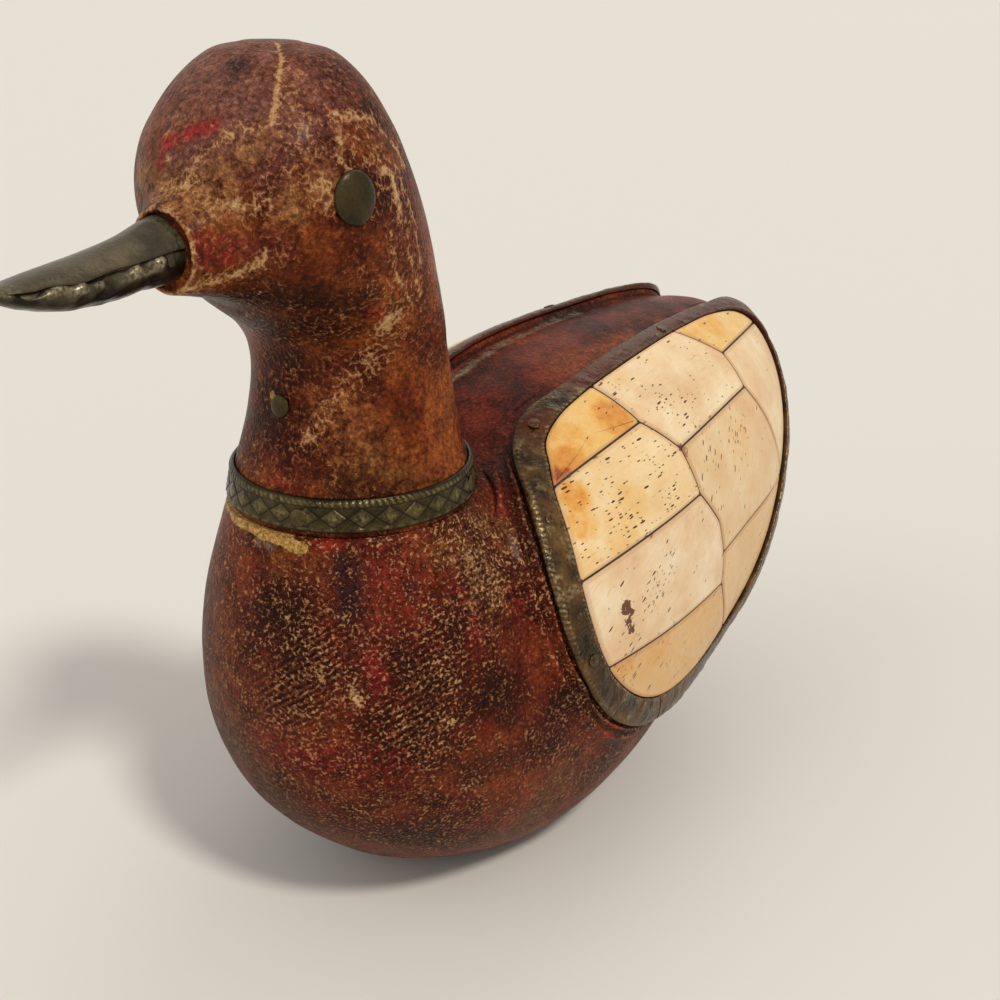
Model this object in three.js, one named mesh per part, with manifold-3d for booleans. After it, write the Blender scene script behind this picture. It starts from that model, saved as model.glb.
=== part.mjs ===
// Carved wooden duck with brass bill, brass strips and bone wing plates.
// Millimetres, +Z up, the duck faces -Y, its left wing is on +X.
import * as THREE from 'three';
import { mergeVertices } from 'three/addons/utils/BufferGeometryUtils.js';
import Module from 'manifold-3d';

const wasm = await Module();
wasm.setup();

// Body block, as rings drawn from the back line to the belly line.
// While modelling, the neck axis is at y = 0 and the table is at z = 0.
// Row: back y, back z, belly y, belly z, half width, squareness of the ring.
const SEAT_HEIGHT = 96;
const BODY_ROWS = [
  [26, SEAT_HEIGHT, -26, SEAT_HEIGHT, 25.5, 2.0],
  [29, 97, -30.5, 78, 30.5, 2.0],
  [33, 99, -32.5, 57, 35, 2.0],
  [38, 102, -28.5, 36.5, 38.7, 2.1],
  [45, 105, -17.5, 20, 42.3, 2.15],
  [54, 107, 0, 6.5, 44.8, 2.2],
  [66, 109, 26, -3.5, 45.8, 2.25],
  [82, 110, 54, -3.5, 44.4, 2.25],
  [102, 110, 83, 5.5, 41, 2.2],
  [124, 109, 112, 16, 36.5, 2.2],
  [142, 106, 134, 30, 28.5, 2.1],
  [154, 98, 150, 49, 16.5, 2.0],
  [159, 84, 158, 68, 7, 2.0],
];
const STERN_Y = 160;
const STERN_Z = 76;

// Neck and head block, which stands on the seat, as everything above it does.
// Row: height above the seat, reach forward, reach back, half width.
const NECK_SEAT_GAP = 0.3;
const HEAD_ROWS = [
  [NECK_SEAT_GAP, 25, 25, 25.3],
  [10, 22.9, 23.4, 23.5],
  [20, 20.8, 22, 21.2],
  [30, 19.6, 20.4, 20.3],
  [37, 21.4, 18.2, 21.8],
  [45, 30.4, 15.5, 24],
  [55, 39.6, 12.8, 25.6],
  [65, 43, 9.4, 25.7],
  [75, 40.6, 4.6, 24],
  [83.5, 34, -0.6, 19.5],
  [89.4, 26.6, -6.6, 13.4],
  [91.4, 21.4, -12, 6],
];
const CROWN_RISE = 92;
const CROWN_FORWARD = 16.5;
const HEAD_MIDDLE_Y = -10;

// Bill. Row: y, rise of the middle above the seat, half height, half width.
const BILL_ROWS = [
  [-36, 59.6, 6.6, 7.4],
  [-42, 59.6, 6.6, 7.4],
  [-47, 59.3, 6.1, 7.2],
  [-53, 58.3, 5.1, 7.2],
  [-60, 57.6, 4.6, 7.0],
  [-68, 57.3, 4.0, 6.5],
  [-75, 57.8, 2.8, 5.4],
  [-79, 58.6, 1.6, 3.6],
];
const BILL_TIP_Y = -81;
const BILL_TIP_RISE = 59.2;
const BILL_SHEET = 0.9;
const BILL_CORE_GAP = 0.2;
const BILL_CREASE_ROOT_RISE = 61.6;
const BILL_CREASE_TIP_RISE = 59.1;
const BILL_CREASE_GAP = 0.3;
const BILL_ROOT_GAP = 0.3;
const TENON_RADIUS = 3.8;
const TENON_BACK_Y = -27;
const TENON_FRONT_Y = -50;
const TENON_RISE = 59;
const TENON_CLEARANCE = 0.2;

// Boss of wood round the root of the bill. Row: y, rise of the middle above
// the seat, half height, half width.
const BOSS_ROWS = [
  [-30, 59.4, 11.2, 14.0],
  [-37, 59.8, 10.4, 12.4],
  [-42, 60.0, 9.3, 10.4],
  [-46.3, 60.0, 8.1, 8.8],
];
const BOSS_STATIONS = 7;

// Dowel between neck and body.
const DOWEL_RADIUS = 7;
const DOWEL_DEPTH_IN_BODY = 26;
const DOWEL_DEPTH_IN_NECK = 32;
const DOWEL_CLEARANCE = 0.2;
const BORE_END_GAP = 0.3;

// Eyes: domed tack heads.
const EYE_DEGREES = 76;
const EYE_RISE = 67.4;
const EYE_RADIUS = 4.8;
const EYE_EDGE = 0.5;
const EYE_DOME = 1.5;
const EYE_SEAT_DEPTH = 0.7;
const EYE_SEAT_GAP = 0.2;
const EYE_SHANK_RADIUS = 1.0;
const EYE_SHANK_LENGTH = 8;

// Nail in the front of the neck.
const NECK_NAIL_RISE = 24;
const NECK_NAIL_HEAD_RADIUS = 2.2;
const NECK_NAIL_HEAD_DOME = 0.9;
const NECK_NAIL_SHANK_RADIUS = 0.9;
const NECK_NAIL_SHANK_LENGTH = 9;

// Collar band round the root of the neck.
const COLLAR_RISE = 1.5;
const COLLAR_HEIGHT = 6.4;
const COLLAR_THICKNESS = 0.5;
const COLLAR_RIB_HEIGHT = 1.4;
const COLLAR_RIB_PROUD = 0.4;
const COLLAR_GAP = 0.25;
const COLLAR_NAIL_ANGLES = [11, 111, 201, 281];

// Small nails in collar and strips.
const TACK_HEAD_RADIUS = 1.4;
const TACK_HEAD_DOME = 0.6;
const TACK_HEAD_EDGE = 0.15;
const TACK_HEAD_GAP = 0.15;
const TACK_SHANK_RADIUS = 0.6;
const TACK_SHANK_LENGTH = 6;
const TACK_CLEARANCE = 0.25;

// Wing edge. Places on the body are given as [y, degrees round the body
// from the back line]. Each pair is the outer edge of the wing and the
// inner edge of its brass strip.
const WING_EDGE = [
  [[50, 18.5], [57, 23.5]],
  [[41, 20], [46, 25.9]],
  [[33, 26], [37.6, 31.4]],
  [[27, 37], [32.7, 39.9]],
  [[22, 49], [28.6, 49.9]],
  [[17.5, 61], [25, 62]],
  [[14.5, 73], [22.3, 73]],
  [[15, 85], [22.5, 82]],
  [[20, 94], [26.5, 89]],
  [[28, 100], [33.5, 94]],
  [[39, 104], [42, 97.5]],
  [[54, 107], [54, 100.3]],
  [[72, 110], [71, 103]],
  [[91, 113], [88, 106]],
  [[108, 112], [102, 105]],
  [[122, 104.5], [113.5, 98.5]],
  [[133, 93], [124.5, 88]],
  [[141, 79], [132.5, 75.5]],
  [[146.5, 63], [138.5, 61]],
  [[149, 47], [141.5, 47]],
  [[147.5, 32], [140.5, 35]],
  [[140, 20], [133, 26]],
  [[125, 17.5], [120, 22.5]],
  [[106, 17], [104, 22]],
  [[87, 17], [88, 22]],
  [[68, 17.5], [71, 22.5]],
];
const STATIONS_PER_EDGE_ROW = 1.5;
const WING_STATIONS = STATIONS_PER_EDGE_ROW * WING_EDGE.length;
const WING_RINGS = [0.75, 0.5, 0.25];
const PLATE_RINGS = [0.5];
const WING_RAISE = 2.2;
const WING_ROOT_DEPTH = 3;
const POCKET_FLOOR = 0.6;
const BED_GAP = 0.25;
const BED_TOP = 3.0;
const TILE_POCKET_FLOOR = 1.5;
const TILE_GAP = 0.2;
const TILE_TOP = 3.3;
const TILE_JOINT = 0.45;

// Brass strip over the rim of each wing.
const STRIP_THICKNESS = 0.8;
const STRIP_GAP = 0.3;
const STRIP_LIP_DROP = 1.2;
const STRIP_END_GAP = 0.6;
// Where the front strip starts and ends, counted in mesh stations of the edge.
const FRONT_STRIP_TOP = 2;
const FRONT_STRIP_BOTTOM = 16;
const STRIP_NAIL_STATIONS = [1.9, 4.6, 7.6, 12.5, 18.0, 23.5];

// Bone plates of one wing. A number is a station on the wing edge, a pair is
// a corner inside the wing. Two numbers in a row follow the edge between them.
const NODE_ABE = [61, 39];
const NODE_BEF = [69, 50.5];
const NODE_BCF = [70.5, 63.5];
const NODE_CF = [77.5, 73.5];
const NODE_CFG = [79, 82];
const NODE_CDG = [78.5, 89];
const NODE_EFHI = [110, 50];
const NODE_EHI = [109.5, 37];
const NODE_FI_UPPER = [115, 61];
const NODE_FI_LOWER = [120, 74];
const EDGE_AE = 25.9;
const EDGE_AB = 3.75;
const EDGE_BC = 5.95;
const EDGE_CD = 8.15;
const EDGE_DG = 12.9;
const EDGE_FG = 16.1;
const EDGE_HI = 20.0;
const EDGE_EH = 23.3;
const WING_PLATES = [
  ['front_top', [EDGE_AE, EDGE_AB, NODE_ABE]],
  ['front_upper', [EDGE_AB, EDGE_BC, NODE_BCF, NODE_BEF, NODE_ABE]],
  ['front_lower', [EDGE_BC, EDGE_CD, NODE_CDG, NODE_CFG, NODE_CF, NODE_BCF]],
  ['front_bottom', [EDGE_CD, EDGE_DG, NODE_CDG]],
  ['middle_top', [EDGE_EH, EDGE_AE, NODE_ABE, NODE_BEF, NODE_EFHI, NODE_EHI]],
  ['middle_centre', [NODE_BEF, NODE_BCF, NODE_CF, NODE_CFG, EDGE_FG, NODE_FI_LOWER,
    NODE_FI_UPPER, NODE_EFHI]],
  ['middle_bottom', [NODE_CFG, NODE_CDG, EDGE_DG, EDGE_FG]],
  ['rear_top', [EDGE_HI, EDGE_EH, NODE_EHI]],
  ['rear_edge', [EDGE_FG, EDGE_HI, NODE_EHI, NODE_EFHI, NODE_FI_UPPER, NODE_FI_LOWER]],
];

// How far a cutting solid runs past what it cuts.
const CUTTER_PAST = 3.5;
const CUTTER_REACH = 30;

// Mesh fineness.
const PLATE_EDGE_STEP = 14;
const PLATE_STEPS_PER_EDGE_ROW = 1.1;
const BODY_STATIONS = 30;
const BODY_AROUND = 40;
const HEAD_STATIONS = 25;
const HEAD_AROUND = 32;
const BILL_STATIONS = 14;
const BILL_AROUND = 20;
const COLLAR_AROUND = 44;
const ROUND_SIDES = 12;
const TACK_SIDES = 8;
const SURFACE_STEP = 0.02;
const HALVINGS = 40;
const NEAR_STEPS = 4;
const NEAR_STEP = 0.1;
const WELD_DISTANCE = 1e-5;

const PAINTED_WOOD = new THREE.MeshStandardMaterial({ color: '#6b2f1e', roughness: 0.45 });
const BARE_WOOD = new THREE.MeshStandardMaterial({ color: '#a9824f', roughness: 0.8 });
const DARK_BRASS = new THREE.MeshStandardMaterial({
  color: '#5c5238', roughness: 0.5, metalness: 0.8 });
const BONE = new THREE.MeshStandardMaterial({ color: '#ead7a8', roughness: 0.5 });
const STAINED_BONE = new THREE.MeshStandardMaterial({ color: '#e0ab58', roughness: 0.5 });
const RESIN = new THREE.MeshStandardMaterial({ color: '#3a1f12', roughness: 0.5 });

const vec = (x, y, z) => new THREE.Vector3(x, y, z);
const rad = THREE.MathUtils.degToRad;

// Catmull-Rom value through equal-length rows at place t, counted in rows.
function rowsAt(rows, t, closed = false) {
  const n = rows.length;
  const last = closed ? n : n - 1;
  const at = closed ? ((t % n) + n) % n : Math.min(Math.max(t, 0), last);
  const i = Math.min(Math.floor(at), last - 1);
  const f = at - i;
  const pick = (k) => rows[((k % n) + n) % n];
  const p1 = pick(i);
  const p2 = closed ? pick(i + 1) : rows[i + 1];
  const p0 = closed || i > 0 ? pick(i - 1) : p1.map((v, k) => 2 * v - p2[k]);
  const p3 = closed || i < last - 1 ? pick(i + 2) : p2.map((v, k) => 2 * v - p1[k]);
  return p1.map((v, k) => {
    const a = 2 * v;
    const b = p2[k] - p0[k];
    const c = 2 * p0[k] - 5 * v + 4 * p2[k] - p3[k];
    const d = -p0[k] + 3 * v - 3 * p2[k] + p3[k];
    return 0.5 * (a + b * f + c * f * f + d * f * f * f);
  });
}

const signedPower = (v, e) => Math.sign(v) * Math.abs(v) ** e;

// Point on the bare body: station in rows, degrees round from the back line.
function bodyPoint(station, degrees) {
  const [yBack, zBack, yBelly, zBelly, halfWidth, square] = rowsAt(BODY_ROWS, station);
  const angle = rad(degrees);
  const across = signedPower(Math.sin(angle), 2 / square);
  const down = -signedPower(Math.cos(angle), 2 / square);
  const y = (yBack + yBelly) / 2 + ((yBelly - yBack) / 2) * down;
  const z = (zBack + zBelly) / 2 + ((zBelly - zBack) / 2) * down;
  return vec(halfWidth * across, y, z);
}

// Station whose ring passes the given y at the given angle.
function stationAt(y, degrees) {
  let low = 1;
  let high = BODY_ROWS.length - 1;
  for (let k = 0; k < HALVINGS; k += 1) {
    const middle = (low + high) / 2;
    if (bodyPoint(middle, degrees).y < y) low = middle;
    else high = middle;
  }
  return (low + high) / 2;
}

// Point above the body at a place [y, degrees], with the outward direction.
function onBody([y, degrees], lift, side = 1) {
  const station = stationAt(y, degrees);
  const p = bodyPoint(station, degrees);
  const along = bodyPoint(station + SURFACE_STEP, degrees)
    .sub(bodyPoint(station - SURFACE_STEP, degrees));
  const around = bodyPoint(station, degrees + 1).sub(bodyPoint(station, degrees - 1));
  const out = new THREE.Vector3().crossVectors(along, around).normalize();
  if (out.x < 0) out.negate();
  const point = p.clone().addScaledVector(out, lift);
  point.x *= side;
  out.x *= side;
  return { point, out };
}

// Closed solid from a row of rings. A ring of one point is a pole, other end
// rings get a flat lid; a looped row joins its last ring to the first.
function loftSolid(rings, looped = false) {
  const positions = [];
  const index = [];
  const starts = rings.map((ring) => {
    const start = positions.length / 3;
    ring.forEach((p) => positions.push(p.x, p.y, p.z));
    return start;
  });
  const joins = looped ? rings.length : rings.length - 1;
  for (let r = 0; r < joins; r += 1) {
    const next = (r + 1) % rings.length;
    const a = rings[r];
    const b = rings[next];
    const n = Math.max(a.length, b.length);
    for (let k = 0; k < n; k += 1) {
      const k2 = (k + 1) % n;
      const a1 = starts[r] + (a.length > 1 ? k : 0);
      const a2 = starts[r] + (a.length > 1 ? k2 : 0);
      const b1 = starts[next] + (b.length > 1 ? k : 0);
      const b2 = starts[next] + (b.length > 1 ? k2 : 0);
      if (a1 !== a2) index.push(a1, a2, b2);
      if (b1 !== b2) index.push(a1, b2, b1);
    }
  }
  const cap = (ring, start, flip) => {
    if (looped || ring.length === 1) return;
    flatTriangles(ring).forEach(([a, b, c]) => {
      if (flip) index.push(start + a, start + c, start + b);
      else index.push(start + a, start + b, start + c);
    });
  };
  cap(rings[0], starts[0], true);
  cap(rings[rings.length - 1], starts[rings.length - 1], false);
  return facingOut(positions, index);
}

// Triangles over a nearly flat ring, turned the way the ring runs.
function flatTriangles(ring) {
  const normal = vec(0, 0, 0);
  ring.forEach((p, k) => {
    const q = ring[(k + 1) % ring.length];
    normal.add(new THREE.Vector3().crossVectors(p, q));
  });
  normal.normalize();
  const u = ring[1].clone().sub(ring[0]);
  u.addScaledVector(normal, -u.dot(normal)).normalize();
  const v = new THREE.Vector3().crossVectors(normal, u);
  const flat = ring.map((p) => new THREE.Vector2(p.dot(u), p.dot(v)));
  return THREE.ShapeUtils.triangulateShape(flat, []);
}

// Geometry with its faces turned outward.
function facingOut(positions, index) {
  let volume = 0;
  const corner = (k) => vec(positions[3 * k], positions[3 * k + 1], positions[3 * k + 2]);
  for (let t = 0; t < index.length; t += 3) {
    const [a, b, c] = [corner(index[t]), corner(index[t + 1]), corner(index[t + 2])];
    volume += a.dot(b.cross(c));
  }
  const faces = volume > 0 ? index : index.slice().reverse();
  const geometry = new THREE.BufferGeometry();
  geometry.setAttribute('position', new THREE.Float32BufferAttribute(positions, 3));
  geometry.setIndex(faces);
  return geometry;
}

// Solid forms for adding and subtracting.
function toSolid(geometry) {
  const plain = geometry.clone();
  plain.deleteAttribute('normal');
  plain.deleteAttribute('uv');
  const merged = mergeVertices(plain, WELD_DISTANCE);
  return new wasm.Manifold(new wasm.Mesh({
    numProp: 3,
    vertProperties: new Float32Array(merged.attributes.position.array),
    triVerts: new Uint32Array(merged.index.array),
  }));
}

function fromSolid(solid) {
  const mesh = solid.getMesh();
  const geometry = new THREE.BufferGeometry();
  const points = new Float32Array(mesh.vertProperties);
  geometry.setAttribute('position', new THREE.BufferAttribute(points, 3));
  geometry.setIndex(new THREE.BufferAttribute(new Uint32Array(mesh.triVerts), 1));
  return geometry;
}

const minus = (solid, cutters) => cutters.reduce((s, c) => s.subtract(c), solid);

// Round solid turned about an axis from a point along a direction.
// Profile points are [radius, distance along the direction].
function turned(profile, base, direction, sides) {
  const lathe = new THREE.LatheGeometry(profile.map(([r, d]) => new THREE.Vector2(r, d)), sides);
  const turn = new THREE.Quaternion().setFromUnitVectors(vec(0, 1, 0), direction);
  lathe.applyQuaternion(turn);
  lathe.translate(base.x, base.y, base.z);
  const plain = lathe.clone();
  plain.deleteAttribute('normal');
  plain.deleteAttribute('uv');
  const merged = mergeVertices(plain, WELD_DISTANCE);
  return facingOut(Array.from(merged.attributes.position.array),
    dropFlat(Array.from(merged.index.array)));
}

function dropFlat(index) {
  const kept = [];
  for (let t = 0; t < index.length; t += 3) {
    const [a, b, c] = index.slice(t, t + 3);
    if (a !== b && b !== c && c !== a) kept.push(a, b, c);
  }
  return kept;
}

const rod = (radius, from, to, base, direction, sides) => turned(
  [[0, from], [radius, from], [radius, to], [0, to]], base, direction, sides);

// Tack: domed head on a shank. The direction points out of the wood.
// The dome has one ring, set in from its edge and down from its top.
const DOME_RING_RADIUS = 0.6;
const DOME_RING_HEIGHT = 0.75;
function tack(base, out, headRadius, edge, dome, gap, shankRadius, shankLength, sides) {
  const profile = [
    [0, -shankLength],
    [shankRadius, -shankLength],
    [shankRadius, gap],
    [headRadius, gap],
    [headRadius, gap + edge],
    [headRadius * DOME_RING_RADIUS, gap + edge + dome * DOME_RING_HEIGHT],
    [0, gap + edge + dome],
  ];
  return turned(profile, base, out, sides);
}

const tackHole = (base, out, radius, length, sides) => rod(
  radius, -length, length, base, out, sides);

// Place on the bare body nearest to a point, stepped to from a first guess.
function placeNear(point, guess) {
  let [y, degrees] = guess;
  for (let k = 0; k < NEAR_STEPS; k += 1) {
    const here = onBody([y, degrees], 0).point;
    const back = onBody([y + NEAR_STEP, degrees], 0).point.sub(here).divideScalar(NEAR_STEP);
    const round = onBody([y, degrees + NEAR_STEP], 0).point.sub(here).divideScalar(NEAR_STEP);
    const off = point.clone().sub(here);
    const [bb, br, rr] = [back.dot(back), back.dot(round), round.dot(round)];
    const [b, r] = [back.dot(off), round.dot(off)];
    const whole = bb * rr - br * br;
    y += (rr * b - br * r) / whole;
    degrees += (bb * r - br * b) / whole;
  }
  return [y, degrees];
}

// Wing surfaces
const edgeRows = WING_EDGE.map(([outer, inner]) => [...outer, ...inner]);

const between = (a, b, t) => [a[0] + (b[0] - a[0]) * t, a[1] + (b[1] - a[1]) * t];

// Outer and inner edge of the strip at a station, and its width in millimetres.
function edgePair(station) {
  const [yo, qo, yi, qi] = rowsAt(edgeRows, station, true);
  const outer = [yo, qo];
  const inner = [yi, qi];
  const width = onBody(outer, WING_RAISE).point.distanceTo(onBody(inner, WING_RAISE).point);
  return { outer, inner, width };
}

// Place on the wing edge: station and millimetres inward from the outer edge.
// A negative inset lies outside the wing.
function edgePlace(station, inset) {
  const { outer, inner, width } = edgePair(station);
  return between(outer, inner, inset / width);
}

// Place by the inner edge of the strip, moved further inward by some millimetres.
function innerPlace(station, inset) {
  const { outer, inner, width } = edgePair(station);
  return between(outer, inner, 1 + inset / width);
}

const wingStations = [];
for (let k = 0; k < WING_STATIONS; k += 1) {
  wingStations.push((k * WING_EDGE.length) / WING_STATIONS);
}

function middleOf(places) {
  const sum = places.reduce(([a, b], [y, q]) => [a + y, b + q], [0, 0]);
  return [sum[0] / places.length, sum[1] / places.length];
}

// Slab over the body between two lifts, bounded by rings of places.
// Smaller copies of the last ring carry the slab to its middle.
function slab(placeRings, shrinks, bottom, top, side) {
  const inner = placeRings[placeRings.length - 1];
  const centre = middleOf(inner);
  const rings = placeRings.slice();
  shrinks.forEach((s) => rings.push(inner.map((p) => between(centre, p, s))));
  const lifted = (ring, lift) => ring.map((p) => onBody(p, lift, side).point);
  const under = rings.map((ring) => lifted(ring, bottom)).reverse();
  const over = rings.map((ring) => lifted(ring, top));
  const low = [onBody(centre, bottom, side).point];
  const high = [onBody(centre, top, side).point];
  return loftSolid([low, ...under, ...over, high]);
}

// Outline of one bone plate as places, its corners and edge runs filled in.
// A side between two corners is straight, pressed to the body.
function plateOutline(corners) {
  const places = [];
  corners.forEach((corner, k) => {
    const next = corners[(k + 1) % corners.length];
    const placeOf = (c) => (Array.isArray(c) ? c : innerPlace(c, BED_GAP + TILE_GAP));
    const here = placeOf(corner);
    const there = placeOf(next);
    const follows = !Array.isArray(corner) && !Array.isArray(next);
    if (follows) {
      const span = (((next - corner) % WING_EDGE.length) + WING_EDGE.length) % WING_EDGE.length;
      const steps = Math.max(2, Math.round(span * PLATE_STEPS_PER_EDGE_ROW));
      for (let s = 0; s < steps; s += 1) {
        places.push(innerPlace(corner + (span * s) / steps, BED_GAP + TILE_GAP));
      }
      return;
    }
    const a = onBody(here, 0).point;
    const b = onBody(there, 0).point;
    const steps = Math.max(1, Math.round(a.distanceTo(b) / PLATE_EDGE_STEP));
    for (let s = 0; s < steps; s += 1) {
      const t = s / steps;
      places.push(placeNear(a.clone().lerp(b, t), between(here, there, t)));
    }
  });
  return places;
}

// Outline drawn in towards its middle by some millimetres.
function drawnIn(places, amount) {
  const centre = middleOf(places);
  const middle = onBody(centre, 0).point;
  return places.map((p) => {
    const reach = onBody(p, 0).point.distanceTo(middle);
    return between(p, centre, amount / reach);
  });
}

// Ring of strip corners at a station of the wing edge.
function stripSection(station, side) {
  const at = (inset, lift) => onBody(edgePlace(station, inset), lift, side).point;
  const inner = innerPlace(station, 0);
  const under = WING_RAISE + STRIP_GAP;
  const over = under + STRIP_THICKNESS;
  const lipEnd = WING_RAISE - STRIP_LIP_DROP;
  return [
    at(-STRIP_GAP, lipEnd),
    at(-STRIP_GAP, under),
    onBody(inner, under, side).point,
    onBody(inner, over, side).point,
    at(-STRIP_GAP - STRIP_THICKNESS, over),
    at(-STRIP_GAP - STRIP_THICKNESS, lipEnd),
  ];
}

// Bent brass strip over the wing rim. Start and end are counted in mesh
// stations, and each end stops short of the next strip.
function wingStrip(from, to, side) {
  const rings = [];
  for (let k = from; k <= to; k += 1) {
    rings.push(stripSection(k / STATIONS_PER_EDGE_ROW, side));
  }
  const last = rings.length - 1;
  const short = (ring, next) => ring.map((p, k) => {
    const reach = p.distanceTo(next[k]);
    return p.clone().lerp(next[k], STRIP_END_GAP / 2 / reach);
  });
  rings[0] = short(rings[0], rings[1]);
  rings[last] = short(rings[last], rings[last - 1]);
  return loftSolid(rings);
}

// Body, neck and bill surfaces
const aboveSeat = (rise) => SEAT_HEIGHT + rise;

function bodyLoft() {
  const rings = [];
  for (let k = 0; k < BODY_STATIONS; k += 1) {
    const station = ((BODY_ROWS.length - 1) * k) / (BODY_STATIONS - 1);
    const ring = [];
    for (let a = 0; a < BODY_AROUND; a += 1) ring.push(bodyPoint(station, (360 * a) / BODY_AROUND));
    rings.push(ring);
  }
  rings.push([vec(0, STERN_Y, STERN_Z)]);
  return loftSolid(rings);
}

function headPoint(station, degrees, grow = 0) {
  const [rise, front, rear, half] = rowsAt(HEAD_ROWS, station);
  const angle = rad(degrees);
  const middle = (rear - front) / 2;
  const reach = (rear + front) / 2 + grow;
  const x = (half + grow) * Math.sin(angle);
  return vec(x, middle - reach * Math.cos(angle), aboveSeat(rise));
}

function headLoft(grow = 0) {
  const rings = [];
  for (let k = 0; k < HEAD_STATIONS; k += 1) {
    const station = ((HEAD_ROWS.length - 1) * k) / (HEAD_STATIONS - 1);
    const ring = [];
    for (let a = 0; a < HEAD_AROUND; a += 1) {
      ring.push(headPoint(station, (360 * a) / HEAD_AROUND, grow));
    }
    rings.push(ring);
  }
  rings.push([vec(0, -CROWN_FORWARD, aboveSeat(CROWN_RISE) + grow)]);
  return loftSolid(rings);
}

// Oval rings along y from a table of rows, drawn larger by some millimetres.
function ovalRings(rows, count, grow) {
  const rings = [];
  for (let k = 0; k < count; k += 1) {
    const [y, rise, high, wide] = rowsAt(rows, ((rows.length - 1) * k) / (count - 1));
    const ring = [];
    for (let a = 0; a < BILL_AROUND; a += 1) {
      const angle = (2 * Math.PI * a) / BILL_AROUND;
      const x = (wide + grow) * Math.sin(angle);
      ring.push(vec(x, y, aboveSeat(rise) + (high + grow) * Math.cos(angle)));
    }
    rings.push(ring);
  }
  return rings;
}

// Bill drawn smaller on every side by some millimetres.
function billLoft(shrink) {
  const tip = vec(0, BILL_TIP_Y + shrink, aboveSeat(BILL_TIP_RISE));
  return loftSolid([...ovalRings(BILL_ROWS, BILL_STATIONS, -shrink), [tip]]);
}

// Boss of wood that the bill comes out of, moved forward by some millimetres.
function bossLoft(forward = 0) {
  const rings = ovalRings(BOSS_ROWS, BOSS_STATIONS, forward);
  rings[rings.length - 1].forEach((p) => p.setY(p.y - forward));
  return loftSolid(rings);
}

// Half space above or below the bill crease, as a sheared block.
function creaseHalf(above) {
  const way = above ? 1 : -1;
  const near = (way * BILL_CREASE_GAP) / 2;
  const far = way * CUTTER_REACH;
  const yBack = TENON_BACK_Y;
  const yFront = BILL_TIP_Y - CUTTER_PAST;
  const ring = (x) => [
    vec(x, yBack, aboveSeat(BILL_CREASE_ROOT_RISE) + near),
    vec(x, yFront, aboveSeat(BILL_CREASE_TIP_RISE) + near),
    vec(x, yFront, aboveSeat(BILL_CREASE_TIP_RISE) + far),
    vec(x, yBack, aboveSeat(BILL_CREASE_ROOT_RISE) + far),
  ];
  return toSolid(loftSolid([ring(-CUTTER_REACH), ring(CUTTER_REACH)]));
}

// Place on the head or neck at a height above the seat, degrees from the front
// towards the left, with the outward direction.
function onHead(rise, degrees, grow = 0) {
  let low = 0;
  let high = HEAD_ROWS.length - 1;
  for (let k = 0; k < HALVINGS; k += 1) {
    const middle = (low + high) / 2;
    if (rowsAt(HEAD_ROWS, middle)[0] < rise) low = middle;
    else high = middle;
  }
  const station = (low + high) / 2;
  const point = headPoint(station, degrees, grow);
  const upward = headPoint(station + SURFACE_STEP, degrees)
    .sub(headPoint(station - SURFACE_STEP, degrees));
  const round = headPoint(station, degrees + 1).sub(headPoint(station, degrees - 1));
  const out = new THREE.Vector3().crossVectors(round, upward).normalize();
  if (out.dot(vec(point.x, point.y - HEAD_MIDDLE_Y, 0)) < 0) out.negate();
  return { point, out };
}

// Collar: a band with a rib along its lower and its upper edge.
function collarBand() {
  const face = COLLAR_GAP + COLLAR_THICKNESS;
  const crest = face + COLLAR_RIB_PROUD;
  const shoulder = (face + crest) / 2;
  const section = [
    [COLLAR_GAP, 0],
    [shoulder, 0],
    [crest, COLLAR_RIB_HEIGHT / 2],
    [face, COLLAR_RIB_HEIGHT],
    [face, COLLAR_HEIGHT - COLLAR_RIB_HEIGHT],
    [crest, COLLAR_HEIGHT - COLLAR_RIB_HEIGHT / 2],
    [shoulder, COLLAR_HEIGHT],
    [COLLAR_GAP, COLLAR_HEIGHT],
  ];
  const rings = [];
  for (let a = 0; a < COLLAR_AROUND; a += 1) {
    const degrees = (360 * a) / COLLAR_AROUND;
    rings.push(section.map(([out, rise]) => onHead(COLLAR_RISE + rise, degrees, out).point));
  }
  return loftSolid(rings, true);
}

// Assembly
const group = new THREE.Group();
group.name = 'carved_duck';
const CENTRE_Y = (STERN_Y + BILL_TIP_Y) / 2;

function add(name, geometry, material) {
  geometry.translate(0, -CENTRE_Y, 0);
  geometry.computeVertexNormals();
  const mesh = new THREE.Mesh(geometry, material);
  mesh.name = name;
  group.add(mesh);
}

const SIDES = [['left', 1], ['right', -1]];
const bodyCuts = [];
const bodyAdds = [];
const headCuts = [];

const outerPlaces = wingStations.map((s) => edgePlace(s, 0));
const innerPlaces = wingStations.map((s) => innerPlace(s, 0));
const bedPlaces = wingStations.map((s) => innerPlace(s, BED_GAP));

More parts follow.
